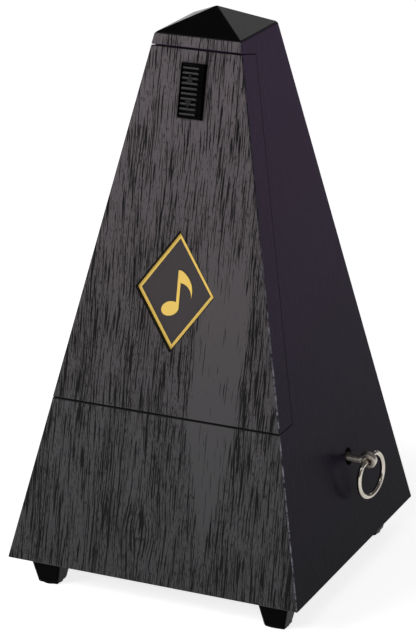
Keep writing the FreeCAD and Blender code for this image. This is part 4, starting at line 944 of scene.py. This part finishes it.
@dataclass
class Cover:
    """The lift-off front, its badge and its thumb latch."""

    case: Case
    wardrobe: Wardrobe
    face: FaceFrame
    latch_centre: float = 182.8
    latch_length: float = 20.4
    latch_width: float = 10.2
    latch_proud: float = 1.8
    # the painted shadow round the badge: how far out from its border the black ring starts and ends, and how far
    # it is pushed to the lower left
    rebate_edge: float = 0.12
    rebate_width: float = 0.5
    rebate_shift: tuple[float, float] = (-0.12, -0.12)
    rim_left: float = 0.35
    rim_right: float = 1.75
    rim_ends: float = 0.6
    slider_slope: float = 0.5
    slider_sunk: float = 0.75
    slider_rounding: float = 0.22
    rib_count: int = 10
    rib_pitch: float = 1.86
    rib_width: float = 5.7
    rib_thickness: float = 1.15

    def panel(self) -> bpy.types.Object:
        """The cover itself."""
        return self.case.shell("cover_panel", "grained_cover")

    def badge(self) -> list[bpy.types.Object]:
        """Soften the stamped edges of the gilt border and note.

        Returns:
            The two pieces.
        """
        pieces = []
        for node, name in (("badge_border", "gilt_border"), ("badge_note", "gilt_note")):
            piece = rounded_copy(node, name, 0.08, 2)
            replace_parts(self.wardrobe.dress(piece, "gilt"), node)
            pieces.append(piece)
        return pieces

    def rebate(self) -> bpy.types.Object:
        """Draw a painted shadow round the recess in the cover that the badge is set in: a black line round it,
        wider to the lower left.

        Returns:
            The painted shadow, a flat rhombic ring on the cover's face.
        """
        low, high = (Vector(corner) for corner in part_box("badge_border"))
        half_width = (high.x - low.x) / 2 / MM
        half_rise = (high.z - low.z) / 2 / self.face.upslope.z / MM
        middle = ((low + high) / 2 - self.face.origin).dot(self.face.upslope) / MM
        shift_x, shift_rise = self.rebate_shift
        form = bmesh.new()
        rings = []
        for grow_by, depth, moved in ((self.rebate_width, 0.0, 1.0), (self.rebate_width, -0.04, 1.0),
                                      (self.rebate_edge, -0.04, 0.0), (self.rebate_edge, 0.0, 0.0)):
            share = 1 + grow_by / min(half_width, half_rise)
            centre_x, centre_z = shift_x * moved, middle + shift_rise * moved
            rings.append([form.verts.new((centre_x + x * share, depth, centre_z + z * share))
                          for x, z in ((0, -half_rise), (half_width, 0), (0, half_rise),
                                       (-half_width, 0))])
        for lower, upper in zip(rings, rings[1:] + rings[:1]):
            for i in range(4):
                j = (i + 1) % 4
                form.faces.new((lower[i], lower[j], upper[j], upper[i]))
        return laid_on(self.face, form, "badge_painted_shadow")

    def slider_body(self) -> bpy.types.Object:
        """Build the slider's block: a raised rim round a sunk floor that the ribs stand in.

        Returns:
            The block.
        """
        half, length = self.latch_width / 2, self.latch_length / 2
        slope, rim, sunk = self.slider_slope, self.rim_ends, self.slider_sunk
        form = bmesh.new()
        rings = []
        for left, right, end, depth in (
                (0.0, 0.0, 0.0, -0.15), (slope, slope, slope, -self.latch_proud),
                (slope + self.rim_left, slope + self.rim_right, slope + rim, -self.latch_proud),
                (slope + self.rim_left, slope + self.rim_right, slope + rim,
                 -self.latch_proud + sunk)):
            west, east, high = left - half, half - right, length - end
            rings.append([form.verts.new((x, depth, self.latch_centre + z))
                          for x, z in ((west, -high), (east, -high), (east, high), (west, high))])
        form.faces.new(rings[0])
        form.faces.new(rings[-1][::-1])
        for lower, upper in zip(rings, rings[1:]):
            for i in range(4):
                j = (i + 1) % 4
                form.faces.new((lower[i], lower[j], upper[j], upper[i]))
        body = laid_on(self.face, form, "latch_slider")
        bevel = body.modifiers.new("rounding", "BEVEL")
        bevel.width = self.slider_rounding * MM
        bevel.segments = 3
        bevel.limit_method = "ANGLE"
        bevel.angle_limit = math.radians(20)
        settled(body)
        smooth_by_angle(body.data)
        return body

    def rib_place(self) -> float:
        """Where the ribs' middle lies across the slider, between its two rims."""
        return (self.rim_left - self.rim_right) / 2

    def ribs(self) -> bpy.types.Object:
        """Grow the cross ribs as one row.

        Returns:
            The ribs, one piece.
        """
        row = grow(row_tree("latch_rib_row", True), "latch_ribs", {
            "Count": self.rib_count, "Pitch": self.rib_pitch * MM, "Width": self.rib_width * MM,
            "Thickness": self.rib_thickness * MM, "Finish": self.wardrobe.get("latch_rib")})
        first = self.latch_centre - self.rib_pitch * (self.rib_count - 1) / 2
        sunk = self.rib_thickness / 2 + 0.02
        place = Matrix.Translation(
            Vector((self.rib_place(), -self.latch_proud + sunk, first)) * MM)
        row.data.transform(self.face.matrix() @ place)
        return row

    def arrows(self) -> bpy.types.Object:
        """Draw the two triangles between the ribs, one for each way it slides.

        Returns:
            Both triangles, one piece.
        """
        form = bmesh.new()
        for middle, sign in ((4.55, 1.0), (-4.55, -1.0)):
            centre = self.latch_centre + middle
            across = self.rib_place()
            prism(form, [(across - 1.45, centre - sign * 1.5), (across + 1.45, centre - sign * 1.5),
                         (across, centre + sign * 2.1)], -0.9, -self.latch_proud, 0.12)
        return laid_on(self.face, form, "latch_arrows")

    def build(self) -> list[bpy.types.Object]:
        """Make the pieces that ride on the cover and on the latch.

        Returns:
            The cover, the badge, its painted shadow ring and the latch's three pieces.
        """
        # the badge's painted shadow, a black ring in the cap's black
        rebate = self.wardrobe.dress(self.rebate(), "cap_black")
        pieces = [self.panel(), *self.badge(), rebate]
        for piece in pieces:
            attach(piece, "cover")
        slider = self.slider_body()
        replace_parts(slider, "latch_button")
        for piece, finish in ((slider, "latch_black"), (self.ribs(), "latch_rib"),
                              (self.arrows(), "latch_rib")):
            self.wardrobe.dress(piece, finish)
            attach(piece, "latch")
            pieces.append(piece)
        return pieces


@dataclass
class WindingKey:
    """The nickel-plated key: its shank with a drilled lug, and the wire bow that hangs from it."""

    wardrobe: Wardrobe
    bow_radius: float = 8.5
    bow_drop: float = 7.2
    bend: float = 2.2
    wire_radius: float = 0.95
    pin_gap: float = 0.35
    yaw: float = 10.0

    def bow_line(self) -> list[tuple[float, float]]:
        """Draw the wire's centre line in the bow's plane.

        Returns:
            Points (along the hinge, up) from one pin to the other, in millimetres.
        """
        reach = math.sqrt((self.bow_radius - self.bend) ** 2 - (self.bow_drop - self.bend) ** 2)
        start = math.atan2(self.bow_drop - self.bend, reach)
        half = [(self.pin_gap, 0.0)]
        for step in range(13):
            angle = math.pi / 2 - (math.pi / 2 - start) * step / 12
            half.append((reach + self.bend * math.cos(angle),
                         -self.bend + self.bend * math.sin(angle)))
        for step in range(1, 49):
            angle = start - (math.pi / 2 + start) * step / 48
            half.append((self.bow_radius * math.cos(angle),
                         -self.bow_drop + self.bow_radius * math.sin(angle)))
        return half + [(-x, z) for x, z in half[-2::-1]]

    def bow(self) -> bpy.types.Object:
        """Sweep a round wire along the bow's line.

        Returns:
            The bow, hanging from the lug.
        """
        joints = {joint["name"]: joint for joint in frame["joints"]}
        along = Vector(joints["bow_swing"]["axis"]).normalized()
        yaw = math.radians(self.yaw)
        across = Vector((math.cos(yaw), -math.sin(yaw), 0.0))
        rise = -along.cross(across).normalized()
        pivot = Vector(joints["bow_swing"]["pos_m"])
        curve = bpy.data.curves.new("key_bow_line", "CURVE")
        curve.dimensions = "3D"
        curve.bevel_depth = self.wire_radius * MM
        curve.bevel_resolution = 6
        curve.use_fill_caps = True
        points = self.bow_line()
        spline = curve.splines.new("POLY")
        spline.points.add(len(points) - 1)
        for point, (x, z) in zip(spline.points, points):
            point.co = (*(pivot + along * x * MM + rise * z * MM), 1.0)
        piece = placed("nickel_key_bow", meshed(placed("key_bow_wire_line", curve)))
        piece.data.shade_smooth()
        return piece

    def build(self) -> list[bpy.types.Object]:
        """Make the key.

        Returns:
            The bow and the shank.
        """
        bow = self.wardrobe.dress(self.bow(), "nickel")
        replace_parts(bow, "key_bow")
        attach(bow, "bow")
        shank = rounded_copy("key_shank", "nickel_key_shank", 0.35, 3, 40.0, 0.0)
        self.wardrobe.dress(shank, "shank_nickel")
        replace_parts(shank, "key_shank")
        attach(shank, "winding_key")
        return [bow, shank]


@dataclass
class TempoScale:
    """What is printed on the scale behind the rod: tick marks and tempo numbers."""

    wardrobe: Wardrobe
    face: FaceFrame
    plate_depth: float = 11.8
    low: float = 84.0
    tick_pitch: float = 5.0
    tick_count: int = 19
    tick_width: float = 4.0
    tick_thickness: float = 0.3
    tick_aside: float = 5.0
    number_aside: float = 10.3
    number_height: float = 4.2
    ink_thickness: float = 0.03
    tempos: tuple[int, ...] = (208, 176, 152, 132, 116, 100, 84, 69, 56, 40)

    def ticks(self) -> list[bpy.types.Object]:
        """Grow the two rows of tick marks.

        Returns:
            The left row and the right row.
        """
        rows = []
        for side in (-1, 1):
            row = grow(row_tree("tick_row", False), f"ticks_{'left' if side < 0 else 'right'}", {
                "Count": self.tick_count, "Pitch": self.tick_pitch * MM,
                "Width": self.tick_width * MM, "Thickness": self.tick_thickness * MM,
                "Finish": self.wardrobe.get("ink")})
            place = Vector((side * self.tick_aside, self.plate_depth, self.low)) * MM
            row.data.transform(self.face.matrix() @ Matrix.Translation(place))
            rows.append(row)
        return rows

    def number(self, tempo: int, place: int) -> bpy.types.Object:
        """Print one tempo number beside its tick.

        Args:
            tempo: the number.
            place: which number it is, counted from the lowest.

        Returns:
            The number, a raised film of ink.
        """
        text = bpy.data.curves.new(f"tempo_{tempo}", "FONT")
        text.body = str(tempo)
        text.size = self.number_height * MM
        text.align_x = "CENTER"
        text.align_y = "CENTER"
        text.extrude = self.ink_thickness * MM
        mesh = meshed(placed(f"tempo_line_{tempo}", text))
        rise = self.low + place * 2 * self.tick_pitch
        side = self.number_aside if place % 2 else -self.number_aside
        stand = Matrix.Rotation(math.pi / 2, 4, "X")
        depth = self.plate_depth - self.ink_thickness
        spot = Matrix.Translation(Vector((side, depth, rise)) * MM)
        mesh.transform(self.face.matrix() @ spot @ stand)
        return placed(f"tempo_{tempo}", mesh)

    def build(self) -> list[bpy.types.Object]:
        """Make the printing on the scale.

        Returns:
            The tick rows and the numbers.
        """
        pieces = self.ticks() + [self.number(t, i) for i, t in enumerate(self.tempos)]
        for piece in pieces:
            self.wardrobe.dress(piece, "ink")
            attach(piece, "case")
        return pieces


@dataclass
class Works:
    """Every other piece keeps its own shape and gets the finish of its slot."""

    wardrobe: Wardrobe

    def build(self) -> list[bpy.types.Object]:
        """Dress the nodes of the frame.

        Returns:
            The dressed nodes.
        """
        slots = {part["node"]: part["material_slot"] for part in frame["record"]["subparts"]}
        dressed = []
        for node, item in frame["nodes"].items():
            for place in item.material_slots:
                place.material = self.wardrobe.get(slots[node])
            dressed.append(item)
        return dressed


@dataclass
class Studio:
    """A pale floor, soft light all round, and the camera."""

    azimuth: float = 24.055
    elevation: float = 18.928
    roll: float = 0.231
    distance: float = 1090.0
    target: tuple[float, float, float] = (-1.9, 0.0, 112.0)
    focal: float = 166.06
    shift: tuple[float, float] = (0.0121, 0.0538)
    floor_colour: str = "#f4f4f4"
    floor_glow: float = 0.8
    floor_half: float = 6.0  # metres
    room_light: float = 0.12
    lamp_aim: tuple[float, float, float] = (0.0, 0.0, 0.11)
    # name, place in metres, width and height in metres, watts
    lamps: tuple = (
        ("front_softbox", (-1.0, -1.3, 1.1), (0.8, 0.8), 13.0),
        ("edge_strip", (1.33, -0.61, 0.43), (0.06, 0.9), 0.8),
        ("rear_softbox", (0.1, 1.5, 1.0), (1.0, 0.5), 1.1),
        ("key_light", (0.2, -1.1, 0.95), (0.25, 0.25), 1.3),
    )

    def camera(self) -> None:
        """Set the camera, which looks down at the front's right corner."""
        a, e, r = (math.radians(v) for v in (self.azimuth, self.elevation, self.roll))
        back = Vector((math.sin(a) * math.cos(e), -math.cos(a) * math.cos(e), math.sin(e)))
        right = Vector((math.cos(a), math.sin(a), 0.0))
        up = back.cross(right)
        right, up = (right * math.cos(r) + up * math.sin(r), up * math.cos(r) - right * math.sin(r))
        lens = bpy.data.cameras.new("camera")
        lens.lens = self.focal
        lens.sensor_width = 36.0
        lens.shift_x = -self.shift[0]
        lens.shift_y = -self.shift[1]
        lens.clip_start = 0.05
        lens.clip_end = 20.0
        camera = bpy.data.objects.new("camera", lens)
        bpy.context.scene.collection.objects.link(camera)
        turn = Matrix((right, up, back)).transposed().to_4x4()
        place = (Vector(self.target) + back * self.distance) * MM
        camera.matrix_world = Matrix.Translation(place) @ turn
        bpy.context.scene.camera = camera

    def floor(self) -> None:
        """Lay the floor."""
        form = bmesh.new()
        bmesh.ops.create_grid(form, x_segments=1, y_segments=1, size=self.floor_half)
        mesh = bpy.data.meshes.new("floor")
        form.to_mesh(mesh)
        form.free()
        floor = placed("floor", mesh)
        material, _, shader = new_material("pale_paper_floor")
        shader.inputs["Base Color"].default_value = linear(self.floor_colour)
        shader.inputs["Roughness"].default_value = 1.0
        shader.inputs["Specular IOR Level"].default_value = 0.0
        shader.inputs["Emission Color"].default_value = (1.0, 1.0, 1.0, 1.0)
        shader.inputs["Emission Strength"].default_value = self.floor_glow
        mesh.materials.append(material)

    def lamp(self, name: str, place: Vector, size: tuple[float, float], power: float) -> None:
        """Hang one soft area lamp that looks at the object's middle.

        Args:
            name: the lamp's name.
            place: where it hangs, in metres.
            size: its width and height, in metres.
            power: its power, in watts.
        """
        light = bpy.data.lights.new(name, "AREA")
        light.shape = "RECTANGLE"
        light.size, light.size_y = size
        light.energy = power
        item = bpy.data.objects.new(name, light)
        bpy.context.scene.collection.objects.link(item)
        turn = (Vector(self.lamp_aim) - place).to_track_quat("-Z", "Y").to_matrix().to_4x4()
        item.matrix_world = Matrix.Translation(place) @ turn

    def build(self) -> None:
        """Set up the whole studio."""
        self.camera()
        self.floor()
        world = bpy.data.worlds.new("studio")
        world.use_nodes = True
        tree = world.node_tree
        tree.nodes.clear()
        room = add_node(tree, "ShaderNodeBackground", None, {
            "Color": (1.0, 1.0, 1.0, 1.0), "Strength": self.room_light})
        add_node(tree, "ShaderNodeOutputWorld", None, {0: room.outputs[0]})
        bpy.context.scene.world = world
        for name, place, size, power in self.lamps:
            self.lamp(name, Vector(place), size, power)
        bpy.context.scene.view_settings.view_transform = "Standard"


def main() -> None:
    """Build every sub-assembly in order and report its pieces."""
    logging.basicConfig(level=logging.INFO, format="%(name)s: %(message)s")
    wardrobe = Wardrobe()
    face = FaceFrame()
    Works(wardrobe).build()
    case = Case(wardrobe, face)
    builders: list[tuple[str, Callable[[], list]]] = [
        ("case", case.build),
        ("cover", Cover(case, wardrobe, face).build),
        ("winding key", WindingKey(wardrobe).build),
        ("tempo scale", TempoScale(wardrobe, face).build),
    ]
    for name, build in builders:
        for piece in build():
            log.info("%s: %s, %d faces", name, piece.name, len(piece.data.polygons))
    Studio().build()


if __name__ == "__main__":
    main()
